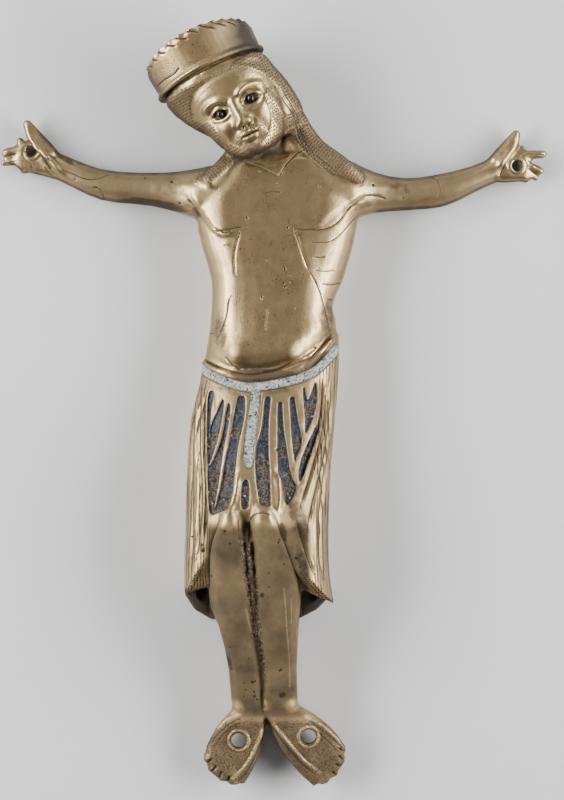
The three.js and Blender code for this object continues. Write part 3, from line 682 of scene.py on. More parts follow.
# %% Nail holes, pits and dots
NAIL_HOLES = {  # column, row, and radius in millimetres
    "palm_left": (31.3, 151.9, 1.72), "palm_right": (517.9, 165.5, 1.72),
    "foot_left": (238.7, 740.6, 2.6), "foot_right": (308.6, 736.8, 2.6),
}
PITS = [  # column, row and radius in pixels
    (247, 219, 1.3), (267, 260.5, 1.1), (284.7, 269.5, 1.4), (289, 276, 1.1), (283.5, 284, 1.5),
    (285, 288, 1.2), (290, 283, 0.9), (294.5, 287.5, 0.9), (261.5, 297, 1.4), (261.5, 300, 0.9),
    (287.5, 228.5, 1.5), (277, 186.5, 1.1), (259.5, 173, 1.1), (218, 190, 1.0), (172, 182, 1.4),
    (372.5, 185.5, 1.5), (273, 284, 0.8), (263, 282, 0.7), (262.5, 275, 0.6), (319, 187, 0.8),
    (180, 203.5, 1.2), (235, 190, 0.9), (277, 184, 0.8), (225.4, 530, 1.4), (230.6, 542.5, 1.3),
    (262.5, 594, 1.9), (284, 563, 1.0), (269, 572, 0.9), (269, 586, 0.9), (211.9, 574.4, 1.2),
    (278.5, 541, 1.3), (279.5, 538.5, 1.1), (230, 646, 1.1), (227.5, 656, 1.2), (229, 660, 1.4),
    (230.5, 664, 1.4), (232, 668.5, 1.2), (249, 657.5, 0.9), (252.5, 681.5, 1.6), (255, 680.5, 1.2),
    (244, 682, 1.1), (245.6, 689, 1.0), (254, 691, 1.2), (244, 696, 1.0), (254.5, 695.5, 1.4),
    (257, 699, 1.1), (279.5, 669.8, 1.2), (281.5, 668.5, 1.3), (286, 673, 0.8), (281, 695.5, 1.7),
    (284, 694, 1.6), (202, 544, 1.8), (204, 550, 1.6), (192, 536, 1.1), (315, 348, 1.1), (296, 309, 0.9),
    (277, 449.5, 1.6), (206, 523, 1.1), (296, 557, 1.6), (300, 566, 1.2), (96, 187, 1.0), (145, 178, 1.1),
    (440, 205, 0.9), (403, 198, 1.0), (75, 179, 0.9),
]
DOTTED = {  # the gap between dots and their radius in millimetres, and the places along the row
    "hem_left": (0.72, 0.24, [(196, 574), (190, 585), (184.5, 596)]),
    "hem_left_second": (0.72, 0.22, [(199, 576), (193, 587), (187.5, 598)]),
    "hem_right": (0.72, 0.26, [(300, 571), (306, 579), (317, 592), (327.5, 602)]),
    "hem_right_second": (0.72, 0.24, [(303.5, 571), (309.5, 579), (320.5, 591), (331, 600.5)]),
}


def along_every(line, gap):
    """Places along a line that are a gap apart."""
    before = np.concatenate([[0], np.cumsum(np.hypot(*np.diff(line, axis=0).T))])
    wanted = np.arange(gap / 2, before[-1], gap)
    return np.stack([np.interp(wanted, before, column) for column in line.T], -1)


def all_pits():
    """Every casting pit and punched dot as x, y and radius, in millimetres."""
    places = np.array(PITS)
    found = [np.column_stack([on_part(places[:, :2]), places[:, 2] * PIXEL])]
    for gap, radius, row in DOTTED.values():
        dots = along_every(rounded(on_part(row)), gap)
        found.append(np.column_stack([dots, np.full(len(dots), radius)]))
    return np.vstack(found)


pits = all_pits()
print("placed", len(pits), "pits and dots")

# %% [markdown]
# A groove a fifth of a millimetre wide needs smaller squares than a plain arm. They are halved only where
# there is fine work, by subdividing their edges: on the face, on the loincloth and beside every line.

# %% Finer squares
HANDS_FROM = 61.5  # to either side of the part's middle


def refine(piece, wanted):
    """Halves the squares whose points are wanted."""
    work = bmesh.new()
    work.from_mesh(piece.data)
    edges = [edge for edge in work.edges if wanted[edge.verts[0].index] and wanted[edge.verts[1].index]]
    bmesh.ops.subdivide_edges(work, edges=edges, cuts=1, use_grid_fill=True)
    work.to_mesh(piece.data)
    work.free()


def fine_work():
    """Which points of the casting get finer squares."""
    z = skin.points[:, 2]
    across, up, out = on_head(skin.points).T
    facing = (skin.normals[:, 2] > 0.1) & (z > 1)
    wanted = (out > 3) & (up > -15.5) & (up < 8) & (across > -10) & (across < 13)
    wanted |= np.abs(skin.points[:, 0]) > HANDS_FROM
    flat = skin.points[:, :2]
    for outline in (*cells.values(), strip):
        wanted |= np.abs(inside(flat, outline)) < 0.8
    for half, _, line in (*engraved.values(), *folds.values(), *ridges.values()):
        wanted[beside(flat, line, max(0.8, 1.8 * half))[0]] = True
    for line in (belt, cord):
        wanted[beside(flat, line, 1.8)[0]] = True
    for pit_x, pit_y, radius in pits:
        wanted |= np.hypot(flat[:, 0] - pit_x, flat[:, 1] - pit_y) < radius + 0.35
    for column, row, radius in NAIL_HOLES.values():
        wanted |= away_from((column, row), flat) < radius + 0.9
    return wanted & facing


refine(corpus, fine_work())
skin.read()
print("the casting's skin now has", len(skin.points), "points")

# %% [markdown]
# Carving is a sum of heights. Every groove, ridge and mound adds to the height of the skin near it, and the
# skin is then pushed out or in once, along its normals. The distance to the nearest engraved line, with a
# sign for its side, is kept for the finish, which draws a dark hairline in it.

# %% Carving
FAR = 9.0


def bell(values, width):
    """1 where values are 0, falling to either side."""
    return np.exp(-((values / width) ** 2))


def turned(off, degrees):
    """Offsets along an axis that is turned by that much, and across it."""
    cosine, sine = math.cos(math.radians(degrees)), math.sin(math.radians(degrees))
    return off[:, 0] * cosine + off[:, 1] * sine, off[:, 1] * cosine - off[:, 0] * sine


class Carving:
    """Heights that are drawn on a plane and pushed into the skin that faces it."""

    def __init__(self, flat, facing):
        self.flat, self.facing = flat, facing
        self.height = np.zeros(len(flat))

    def groove(self, line, half, depth, lip=0.15, taper=0.12):
        """A groove that runs out at both ends, with a low burr beside it. A ridge has a depth below 0."""
        near, distance, _, along = beside(self.flat, line, 3.2 * half)
        strength = smooth(along, 0, taper) * (1 - smooth(along, 1 - taper, 1))
        cut = bell(distance, half) - lip * np.exp(-((distance / half - 1.8) ** 2) / 0.4)
        self.height[near] -= depth * strength * cut

    def mound(self, place, radius, height, stretch=(1, 1), turn=0.0):
        """A smooth mound, or a dent if its height is below 0."""
        along, across = turned(self.flat - place, turn)
        along, across = along / (radius * stretch[0]), across / (radius * stretch[1])
        self.height += height * np.exp(-(along**2 + across**2))

    def mark(self, line, past_end=0.4):
        """Notes a hairline along the bottom of a groove."""
        near, distance, side, along = beside(self.flat, line, 1.5)
        kept = self.facing[near] > 0.3
        near, distance, side, along = near[kept], distance[kept], side[kept], along[kept]
        apart = distance + np.where((along < 0.004) | (along > 0.996), past_end, 0.0)
        closer = apart < hairline_reach[near]
        hairline[near[closer]] = (distance * np.where(side == 0, 1, side))[closer]
        hairline_reach[near[closer]] = apart[closer]

    def settle(self):
        """Pushes the skin by the summed heights and starts the sum again."""
        skin.push(self.height * self.facing)
        skin.turn_normals()
        self.height[:] = 0


def lumps(points, size_mm, seed, count=48):
    """Smooth random lumps of about that size, from -1 to 1. They repeat after count of them."""
    grid = np.random.default_rng(seed).uniform(-1, 1, (count,) * 3)
    place = points / size_mm
    low = np.floor(place).astype(int)
    share = smooth(place - low, 0, 1)
    total = 0
    for corner in np.ndindex(2, 2, 2):
        weight = np.prod(np.where(corner, share, 1 - share), axis=1)
        total = total + weight * grid[tuple(((low + corner) % count).T)]
    return total


hairline = np.full(len(skin.points), FAR)
hairline_reach = np.full(len(skin.points), FAR)
front = smooth(skin.normals[:, 2], 0.0, 0.25) * smooth(skin.points[:, 2], 0.6, 1.4)
carving = Carving(skin.points[:, :2].copy(), front)
print("ready to carve")

# %% [markdown]
# First the large forms. The chest is a flat plate whose lower edges slope down to the flanks: those slopes
# face the soft boxes and shine. The belly swells over the belt on both sides of its middle.

# %% Trunk
NECK_HOLLOW = [
    (280, 147), (283, 138), (286, 130), (292, 130), (297, 137), (302, 145), (308, 154), (299, 157),
    (287, 155),
]
CHEST_PLATE = [
    (140, 186), (176, 184), (190, 187), (200, 200), (212, 217), (221, 229), (245, 231), (290, 230),
    (306, 226), (324, 214), (343, 203), (358, 192), (372, 186), (425, 186), (425, 160), (330, 148),
    (280, 144), (215, 156), (140, 164),
]
BELLY = [  # place in pixels, radius and height in millimetres, stretch along and across, turn
    ((237, 354), 3.0, 0.95, (1, 1.1)), ((292, 354), 3.2, 0.95, (1.1, 1.0)), ((262, 345), 7.5, 0.3),
    ((229, 285), 3.6, 0.4, (1, 2.6)), ((303, 275), 4.2, 0.4, (1, 2.6), 12),
]
NECK = [((293, 144), 2.6, 0.5, (1, 1.3), 35)]
MEMBRANE_ROUNDS = 600
TRUNK_MIDDLE = 0.4
PLATE_RISE = 0.85


def span(wanted, rounds):
    """Lays the wanted points level with the skin around them, as a membrane would span them."""
    free = np.flatnonzero(wanted)
    for _ in range(rounds):
        average = skin.average(skin.points[:, 2])
        skin.points[free, 2] = average[free]
    skin.turn_normals()


def add_mounds(mounds):
    for place, *form in mounds:
        carving.mound(on_part(place), *form)


def carve_trunk():
    hollow = inside(carving.flat, rounded(on_part(NECK_HOLLOW), closed=True)) > 0
    span(hollow & (skin.points[:, 2] > 3), MEMBRANE_ROUNDS)
    add_mounds(NECK)
    plate = inside(carving.flat, rounded(on_part(CHEST_PLATE), closed=True, rounds=3), 6)
    side = np.abs(carving.flat[:, 0] - TRUNK_MIDDLE)
    rise = smooth(plate, -2.2, 0.1) * (1 - smooth(carving.flat[:, 1], 53, 60))
    carving.height += rise * (0.05 + PLATE_RISE * smooth(side, 8, 14)) * (1 - smooth(side, 20, 34))
    add_mounds(BELLY)
    carving.settle()
    slopes = window(carving.flat[:, 0], -24, 26, 3) * window(carving.flat[:, 1], 16, 62, 3)
    skin.relax(9, slopes * front, swell=-0.5)


carve_trunk()
print("modelled the trunk")

# %% [markdown]
# The loincloth. Its cells were cut down to hold enamel, and gilt folds were left standing between them. The
# solid has the cells as plain slots; here they are filled level with a membrane, and cut again to the drawn
# outlines. Where enamel has fallen out, the floor is deeper and rough.

# %% Loincloth
ENAMEL_DEPTH = 0.4
LOST = [  # where most of the enamel has fallen out: column, row and radius in pixels
    (222, 484, 12), (228, 500, 12), (236, 433, 8), (210, 440, 14), (265, 498, 12), (262, 468, 6),
    (288, 486, 14), (299, 447, 8), (309, 408, 12), (245, 500, 9), (308, 462, 12), (280, 430, 5),
]
FILLING_ROUNDS = 260
BELT_HALF, BELT_RISE, STRIP_RISE = 1.15, 0.25, 0.1
CORD_BELOW, CORD_HALF, CORD_RISE = 1.25, 0.75, 0.35


def broken_enamel():
    """Where the enamel is gone, from 0 to 1: little of it at the waist, and most of it over the knees."""
    row = MIDDLE_ROW - carving.flat[:, 1] / PIXEL
    chance = 0.22 + 0.4 * smooth(row, 400, 490)
    for off in radii_from(LOST, carving.flat):
        chance = np.maximum(chance, 0.75 * (1 - smooth(off, 0.3, 1.2)))
    ragged = 0.4 * lumps(skin.points, 1.7, 4) + 0.3 * lumps(skin.points, 0.8, 5)
    return smooth(chance + ragged, 0.38, 0.62)


def carve_cells():
    depth = np.max([inside(carving.flat, outline) for outline in cells.values()], axis=0)
    span((depth > -1.0) & (front > 0.5), FILLING_ROUNDS)
    lost = broken_enamel()
    floor = smooth(depth, -0.1, 0.25)
    crumbs = lumps(skin.points, 0.9, 7) + 0.7 * lumps(skin.points, 0.5, 8)
    carving.height -= floor * (ENAMEL_DEPTH + lost * (0.2 + 0.2 * crumbs))
    carving.settle()
    return depth, lost * smooth(depth, -0.1, 0.1)


def carve_belt():
    """The enamelled belt and strip stand a little proud; above the belt runs a gilt cord."""
    near, distance, _, _ = beside(carving.flat, belt, 4)
    band = np.full(len(skin.points), -4.0)
    band[near] = BELT_HALF - distance
    down = inside(carving.flat, strip)
    pale = np.where(front > 0.2, np.maximum(band, down), -4.0)
    carving.height += BELT_RISE * smooth(band, -0.25, 0.2) + STRIP_RISE * smooth(down, -0.2, 0.2)
    carving.height -= 0.22 * bell(pale + 0.12, 0.2)
    carving.groove(cord, 0.3, 0.3, taper=0.02)
    near, distance, _, _ = beside(carving.flat, cord - (0, CORD_BELOW), 1.8)
    carving.height[near] += CORD_RISE * bell(distance, CORD_HALF)
    carving.settle()
    return pale


enamel_depth, enamel_lost = carve_cells()
pale_depth = carve_belt()
for half, depth, line in folds.values():
    carving.groove(line, half, depth, lip=0.35, taper=0.15)
    carving.mark(line)
carving.settle()
print("cut", len(cells), "cells and", len(folds), "folds")

# %% [markdown]
# Then the graver's lines, the raised rims and the pits. The groove between the shins was never cleaned up
# after casting, and stayed pitted.

# %% Lines, rims and pits
SHIN_GROOVE = [
    (243, 524), (247, 545), (250, 572), (252, 595), (255, 615), (259, 640), (263, 662), (267, 685),
    (270, 706),
]
FEET = [  # a hollow round each nail, the ankles, and a mound that fills the valley between them
    ((229, 752), 4.2, -0.45, (1.3, 1), -50), ((318, 750), 4.2, -0.45, (1.3, 1), -130),
    ((239, 708), 1.2, 0.45), ((231, 707), 1.2, 0.45), ((292, 705), 1.2, 0.45),
    ((268, 699), 2.2, 0.9, (0.6, 1.7)),
]
PIT_DEPTH = 0.22
CUT_WIDER, CUT_SHALLOWER = 1.4, 0.6  # than listed, so that the skin's squares can carry a line


def carve_lines():
    for half, depth, line in engraved.values():
        carving.groove(line, CUT_WIDER * half, CUT_SHALLOWER * depth, lip=0.08)
        carving.mark(line)
    for half, height, line in ridges.values():
        carving.groove(line, half, -height, lip=0.2, taper=0.25)
    for column, row, radius in NAIL_HOLES.values():
        off = away_from((column, row), carving.flat) - radius
        carving.height += 0.1 * radius * bell(off, 0.28) - 0.06 * radius * bell(off - 0.65, 0.25)
    add_mounds(FEET)
    carving.settle()


def carve_pits():
    depth = np.full(len(skin.points), -2.0)
    for pit_x, pit_y, radius in pits:
        off = np.hypot(carving.flat[:, 0] - pit_x, carving.flat[:, 1] - pit_y)
        depth = np.maximum(depth, radius - off)
    depth = np.where(front > 0.2, depth, -2.0)
    carving.height -= PIT_DEPTH * smooth(depth, -0.1, 0.35)
    return depth


def roughen_shins():
    near, distance, _, along = beside(carving.flat, rounded(on_part(SHIN_GROOVE)), 4)
    rough = np.zeros(len(skin.points))
    half = 2.2 - 1.1 * smooth(along, 0.35, 0.8)
    run = smooth(along, 0.0, 0.1) * (1 - 0.75 * smooth(along, 0.6, 0.95))
    rough[near] = (1 - smooth(distance, 0.3 * half, 1.3 * half)) * run
    carving.height += rough * (0.15 + 0.2 * lumps(skin.points, 1.3, 11) + 0.12 * lumps(skin.points, 0.7, 12))
    carving.settle()
    return rough


carve_lines()
pit_depth = carve_pits()
shin_rough = roughen_shins()
print("engraved", len(engraved), "lines")

# %% [markdown]
# The face is a calm mask on plain proportions: eyes halfway between the crown's rim and the chin, a straight
# nose, level lips and a short beard. Its features are drawn on the head's own axes, from the middle of the
# face, and each side mirrors the other.

# %% Face
FACE_MIDDLE = 1.7
EYE_CENTRE = (4.5, -0.8)
UPPER_LID = [(-2.9, -0.5), (-1.9, 0.8), (-0.2, 1.6), (1.6, 1.2), (2.9, -0.2)]
LOWER_LID = [(-2.9, -0.5), (-1.6, -1.5), (0.0, -1.8), (1.6, -1.4), (2.9, -0.2)]
BROW = [(1.2, 0.6), (2.6, 2.2), (4.8, 2.9), (7.2, 2.3), (8.9, 0.6)]
MOUSTACHE = [(0.4, -7.4), (1.9, -7.8), (3.3, -8.8), (4.1, -10.4)]
JAW = [(9.6, -3.0), (9.2, -7.0), (7.6, -10.6), (4.6, -13.2), (0.0, -14.2)]
LIPS_PARTED = [(-2.8, -9.0), (-1.4, -8.8), (0, -8.95), (1.4, -8.8), (2.8, -9.0)]
UPPER_LIP = [(-2.2, -8.5), (-0.9, -8.15), (0, -8.3), (0.9, -8.15), (2.2, -8.5)]
LOWER_LIP = [(-1.9, -9.55), (0, -9.85), (1.9, -9.55)]
HAIRLINE = [
    (-9.0, 2.0), (-7.8, 5.4), (-4.5, 7.4), (0.5, 8.2), (5.5, 7.6), (9.3, 5.4), (11.4, 1.5), (12.4, -3.5),
    (12.4, -8.5), (11.0, -13), (7.5, -17), (-3.5, -17), (-7.5, -12.0), (-9.2, -6.0), (-9.6, -1.5),
]


def mirrored(line):
    line = np.asarray(line, float)
    return line, line * (-1, 1)


head_places = on_head(skin.points)
across, up, out = head_places.T
on_mask = smooth(skin.normals @ head_turn[:, 2], 0.05, 0.35) * smooth(out, 2.5, 5) * smooth(up, -16.5, -14.5)
on_mask *= 1 - smooth(up, 7.5, 9)
mask = Carving(np.column_stack([across - FACE_MIDDLE, up]), on_mask)


def carve_eyes():
    for side in (-1, 1):
        eye = np.array((side * EYE_CENTRE[0], EYE_CENTRE[1]))
        for lid, height in ((UPPER_LID, 0.55), (LOWER_LID, 0.4)):
            line = rounded(np.array(lid) * (side, 1) + eye)
            mask.groove(line, 0.42, -height, lip=0.25, taper=0.2)
        mask.groove(rounded(np.array(UPPER_LID) * (side * 1.12, 1.35) + eye + (0, 0.15)), 0.3, 0.2, taper=0.2)
        mask.mound(eye, 1.9, -0.25, (1.2, 0.9))


def carve_nose_and_brow():
    for brow in mirrored(BROW):
        mask.groove(rounded(brow), 0.75, -0.55, lip=0.15, taper=0.2)
    mask.groove(np.array([(0, 2.4), (0, 0.4), (0, -2.4), (0, -5.4)]), 0.95, -0.55, lip=0.2, taper=0.25)
    mask.mound((0, -5.0), 1.35, 0.75)
    for side in (-1, 1):
        mask.mound((1.6 * side, -5.5), 0.8, 0.6)
        mask.mound((0.75 * side, -6.55), 0.42, -0.5)
        mask.groove(rounded([(2.1 * side, -4.7), (2.7 * side, -6.0), (2.5 * side, -6.9)]), 0.35, 0.22)
    mask.mound((0, -7.3), 0.5, -0.15, (0.8, 1.4))


def carve_mouth():
    mask.groove(rounded(UPPER_LIP), 0.42, -0.4, taper=0.2)
    mask.groove(rounded(LOWER_LIP), 0.55, -0.5, taper=0.2)
    mask.groove(rounded(LIPS_PARTED), 0.24, 0.5, taper=0.15)
    mask.mound((0, -10.9), 1.3, -0.35, (1.4, 0.8))
    mask.mound((0, -12.9), 2.0, 0.3, (1.2, 1))
    for side in (-1, 1):
        mask.mound((5.6 * side, -4.2), 2.6, 0.3)
        mask.mound((4.3 * side, -8.2), 1.6, -0.25, (0.7, 1.3))


def beard_depth():
    """How far points lie inside the moustache and the beard, in millimetres."""
    depth = np.full(len(skin.points), -2.0)
    for line, half in ((MOUSTACHE, 0.8), (JAW, 2.3)):
        for run in mirrored(line):
            near, distance, _, along = beside(mask.flat, rounded(run), half + 1.5)
            narrower = 1 - 0.5 * smooth(along, 0.7, 1) * (line is MOUSTACHE)
            depth[near] = np.maximum(depth[near], half * narrower - distance)
    mask.height += 0.2 * smooth(depth, -0.2, 0.35)
    return np.where(on_mask > 0.3, depth, -2.0)


carve_eyes()
carve_nose_and_brow()
carve_mouth()
mask.settle()
beard = beard_depth()
mask.settle()
mask.mark(rounded(LIPS_PARTED))
skin.relax(2, 0.7 * on_mask)
print("carved the face")

# %% [markdown]
# Hair is a mass with rows of small punched strokes. Each point of it knows how far it lies inside the hair,
# and two coordinates, along the strands and across them, on which the finish lays out the strokes.

# %% Hair
RIGHT_FALL = [(262, 62), (276, 88), (290, 106), (302, 128), (312, 143), (328, 158), (346, 171), (362, 180)]
LEFT_FALL = [(232, 154), (222, 163), (210, 174), (198, 181)]


def comb_hair():
    depth = np.full(len(skin.points), -3.0)
    place = np.column_stack([up, across])
    around_head = inside(np.column_stack([across, up]), rounded(HAIRLINE, closed=True), 4)
    on_skull = (up > -14) & (up < 9.5) & (skin.points[:, 1] > 62) & (np.abs(across) < 22)
    depth[on_skull] = -around_head[on_skull]
    depth[on_skull & (out < 1)] = 3
    for fall, half, before in ((RIGHT_FALL, 3.4, 0), (LEFT_FALL, 2.3, 40)):
        line = rounded(on_part(fall))
        near, distance, side, along = beside(carving.flat, line, half + 2)
        length = np.hypot(*np.diff(line, axis=0).T).sum()
        on_fall = half * (1 - 0.6 * smooth(along, 0.75, 1)) - distance
        closer = (on_fall > depth[near]) & ((up[near] < -9) | (depth[near] < 0)) & (along > 0.001)
        near, on_fall = near[closer], on_fall[closer]
        depth[near] = on_fall
        place[near] = np.column_stack([before + along[closer] * length, (distance * side)[closer]])
    return np.where(skin.normals[:, 2] > -0.2, depth, -3.0), place


hair_depth, hair_place = comb_hair()
skin.push(0.25 * smooth(hair_depth, -0.2, 0.45) * smooth(skin.normals[:, 2], 0, 0.3))
skin.turn_normals()
print("combed", int((hair_depth > 0).sum()), "points of hair")

# %% [markdown]
# The crown is a band with a rolled rim. Its upper edge was nicked with a file, slanting, all the way round.
# It is unrolled for carving: the place of a point is its distance round the band and its height on it.

# %% Crown
NICKS, NICK_SLANT, NICK_DEPTH, NICK_HALF = 28, 1.15, 0.32, 0.24
CROWN_SEAT, CROWN_FIT, CROWN_HEIGHT, CROWN_RISE, CROWN_CLIMB = 8.8, 0.35, 8.2, 2.6, 0.26
CROWN_MIDDLE, CROWN_HALF, CROWN_RADIUS = (-1.0, -1.7), (14.4, 10.9), 12.6  # pairs are across and out
CROWN_SQUARE = 0.26
CORNER_LINE = [(158.4, 87.7), (164, 83), (170, 80), (175.6, 77.4), (180, 72)]
DOTTED_CORNER = [(154, 84), (158, 68), (168, 62), (178, 68), (176, 76), (166, 82), (158, 88)]
crown = piece_from("crown", "crown_casting")
remesh(crown, CROWN_SQUARE)
band = Skin(crown)
band.relax(24, 1.0)


def carve_crown():
    across, up, out = on_head(band.points).T
    turn = np.arctan2((out - CROWN_MIDDLE[1]) / CROWN_HALF[1], (across - CROWN_MIDDLE[0]) / CROWN_HALF[0])
    away = np.column_stack([np.cos(turn), np.sin(turn)])
    facing = (band.normals @ head_turn)[:, ::2]
    outside = smooth((away * facing).sum(1), 0.4, 0.8)
    top = CROWN_SEAT + CROWN_FIT + CROWN_HEIGHT + CROWN_RISE * np.maximum(0, np.sin(turn))
    below_edge = top - (up - CROWN_CLIMB * out)
    round_band = turn * CROWN_RADIUS

    gap = 2 * math.pi * CROWN_RADIUS / NICKS
    slant = round_band + NICK_SLANT * below_edge + 0.25 * lumps(band.points, 3, 5)
    nick = ((slant + gap / 2) % gap - gap / 2) / math.hypot(1, NICK_SLANT)
    nick_end = 2.6 + 0.5 * lumps(band.points, 4, 6)
    in_nick = 1 - smooth(below_edge / nick_end, 0.75, 1.1)
    band.push(-NICK_DEPTH * bell(nick, NICK_HALF) * in_nick * outside)
    line = np.where(in_nick * outside > 0.02, nick, FAR)
    line_reach = np.abs(nick) + 0.7 * (1 - in_nick)

    near, distance, side, _ = beside(band.points[:, :2], rounded(on_part(CORNER_LINE)), 1.5)
    band.points[near] -= band.normals[near] * (0.1 * bell(distance, 0.28))[:, None]
    closer = distance < 0.3
    line[near[closer]], line_reach[near[closer]] = (distance * side)[closer], distance[closer]
    dotted = smooth(inside(band.points[:, :2], on_part(DOTTED_CORNER)), -0.3, 0.3) * outside
    band.notes(line=line, line_reach=line_reach, round=round_band, below=below_edge, dotted=dotted)
    band.turn_normals()


carve_crown()
print("the crown has", len(band.points), "points")

# %% [markdown]
# Each eye is a bead of dark glass that was set in a socket. A sphere operator makes it, around the middle of
# the solid's bead.

# %% Eye beads
BEAD_RADIUS = 1.06


def make_bead(node, name):
    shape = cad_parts[node]
    corners = [shape.matrix_world @ Vector(corner) for corner in shape.bound_box]
    ball = bmesh.new()
    bmesh.ops.create_uvsphere(ball, u_segments=32, v_segments=20, radius=BEAD_RADIUS * MM)
    bmesh.ops.translate(ball, verts=ball.verts, vec=sum(corners, Vector()) / 8)
    for face in ball.faces:
        face.smooth = True
    return add_object(name, mesh_of(ball, name))


beads = {side: make_bead(f"eye_bead_{side}", f"bead_{side}") for side in ("left", "right")}
print("set", len(beads), "beads")

# %% [markdown]
# Patina gathers where a cloth does not reach. A point is in a hollow when the average of the skin around it
# stands in front of it; that is measured close by for grooves, and farther away for the corners of the form.
# The steep sides are darkened as painted shade, since they turn away from the light.

# %% Hollows and painted shade on the sides
CLOSE_BY, FARTHER_AWAY = 6, 60  # rounds of averaging


def hollow_of(surface, rounds):
    """How far the smoothed surface stands in front of each point, in millimetres."""
    blurred = surface.points.copy()
    for _ in range(rounds):
        blurred = surface.average(blurred)
    return np.sum((blurred - surface.points) * surface.normals, 1)


def shaded_side(surface):
    """Painted shade on the steep sides, which turn away from the light: less on the trunk, none on its
    outermost edge.
    """
    upright = surface.normals[:, 2]
    x, y, _ = surface.points.T
    arms = smooth(np.abs(x), 25, 35)
    side = (1 - smooth(upright, 0.25 + 0.1 * arms, 0.85 + 0.07 * arms)) * smooth(upright, -0.6, -0.3)
    trunk = window(y, -84, 53, 4) * window(x, -24, 25, 3)
    return side * (1 - trunk * (0.35 + 0.65 * (1 - smooth(upright, 0.1, 0.4))))


for each in (skin, band):
    each.notes(
        hollow_near=hollow_of(each, CLOSE_BY),
        hollow_far=hollow_of(each, FARTHER_AWAY),
        # side: painted shade on the steep sides
        side=shaded_side(each),
        back=smooth(-each.normals[:, 2], 0.6, 0.85),
    )
print("measured the hollows")

# %% [markdown]
# Some patches are darker than their form alone would make them, and are listed by place. Most of them are
# painted shade: under the belly above the belt, under the hem, beside the knees, between the shins, on the
# flanks and shoulders, and along the edges of the arms. The rest are dirt, in pits and creases. Each is an
# oval that fades out.

# %% Dirt and painted shade by place
# painted shade and some dirt: ovals that darken the gilding
DIRT_AND_SHADE = [  # column, row, reach across and down in pixels, turn in degrees, strength
    (256, 377.5, 32, 6, 0, 0.9), (245, 536, 6, 16, 0, 0.6), (249, 562, 10, 22, 4, 0.6),
    (252, 592, 9, 22, 5, 0.5), (256, 625, 7, 26, 8, 0.4), (262, 662, 6, 24, 10, 0.35),
    (198, 604, 16, 18, 0, 0.95), (318, 608, 20, 12, -30, 0.95), (293, 512, 6, 18, -8, 0.7),
    (302, 560, 7, 22, -15, 0.6), (229.5, 662, 3, 9, -12, 0.7), (282, 694, 5, 4, 0, 0.8),
    (262.5, 594, 3, 3, 0, 0.8), (203, 547, 4, 6, 0, 0.6), (44, 160, 5, 12, -35, 0.4),
    (226, 391, 22, 5, 14, 0.5), (278, 391, 20, 5, -8, 0.5), (20, 163, 5, 12, 0, 0.6),
    (9, 153, 8, 4, 15, 0.6), (10, 162.5, 8, 2.5, 10, 0.7), (45, 139, 3.5, 16, -42, 0.7),
    (496, 178, 4, 6, 0, 0.5), (500, 152, 6, 14, 35, 0.4), (221, 332, 9, 26, 0, 0.62),
    (327, 320, 9, 28, 0, 0.62), (300, 520, 11, 32, -12, 0.65), (204, 520, 8, 30, 0, 0.45),
    (283, 530, 5, 14, -14, 0.75), (207, 455, 4, 40, 0, 0.35), (172, 190, 22, 12, 0, 0.45),
    (398, 190, 22, 10, 0, 0.4), (262, 374, 42, 6, 0, 1.1), (314, 361, 24, 5, -33, 0.85),
    (214, 366, 14, 3, 30, 0.7), (198, 212, 5, 10, -35, 0.6), (366, 205, 10, 5, -30, 0.6),
    (256, 150, 30, 8, 15, 0.6), (268, 160, 14, 10, 30, 0.5), (152, 205, 42, 7, 8, 1.1),
    (95, 199, 30, 5, 18, 0.8), (120, 166, 55, 5, 4, 0.7), (420, 212, 50, 6, -6, 1.0),
    (470, 199, 26, 5, -24, 0.9), (420, 170, 45, 5, -6, 0.7), (478, 158, 18, 4, -30, 0.7),
    (62, 156, 20, 5, 38, 0.7), (246, 160, 12, 5, 0, 0.5), (176, 118, 8, 26, -28, 0.4),
    (237, 62, 14, 10, 0, 0.6),
]


# how dark the listed ovals make each point: painted shade and dirt
def dirt_on(flat):
    dirt = np.zeros(len(flat))
    for column, row, wide, tall, turn, strength in DIRT_AND_SHADE:
        across, down = turned((flat - on_part((column, row))) / PIXEL, -turn)
        dirt = np.maximum(dirt, strength * (1 - smooth(np.hypot(across / wide, down / tall), 0.4, 1.2)))
    return dirt


print("listed", len(DIRT_AND_SHADE), "dirty patches")

# %% [markdown]
# On both sides of the loincloth fine lines run side by side, along the outermost edge of the cloth. A point
# keeps its distance from that edge, and the finish draws a line wherever a wave of that distance is high.

# %% Fine lines along the cloth
CLOTH_EDGES = [
    [(208, 340), (199, 380), (190, 420), (187, 460), (186, 530), (184, 570), (184, 640)],
    [(342, 320), (336, 360), (334, 400), (333, 440), (332, 490), (331, 540), (333, 580), (336, 640)],
]


def across_folds(flat):
    """How far each point lies from the cloth's edge on its side, with a sign."""
    measured = np.zeros(len(flat))
    for edge in CLOTH_EDGES:
        near, distance, side, _ = beside(flat, rounded(on_part(edge)), 8)
        measured[near] = distance * side
    return measured


print("the cloth has", len(CLOTH_EDGES), "edges")

# %% [markdown]
# The gilding didn't wear evenly. The trunk, the crown and the hands kept most of it. The arms, the legs and
# the feet went dull, but for the spots that stand out, the rims and the edges of the nail holes; the spots
# that stand out are kept bright also as painted highlights. The same number carries painted shade: on the
# inside of the cloth under the hem, and on the crown's right half.

# %% Dull gilding, painted highlights and painted shade
# rubbed bright, and kept bright also as painted highlights on the knees, ankles and toes
RUBBED_BRIGHT_AND_HIGHLIGHTS = [  # spots that stand out and were rubbed bright: column, row and radius in pixels
    (235, 708, 9), (292, 705, 7), (266, 704, 6), (229, 519, 10), (272, 514, 11), (207, 757, 3), (213, 769, 3),
    (219, 777, 3), (227, 784, 3), (237, 785, 4), (346, 750, 3), (346, 758, 3), (343, 768, 3), (338, 777, 3),
    (322, 782, 4),
]


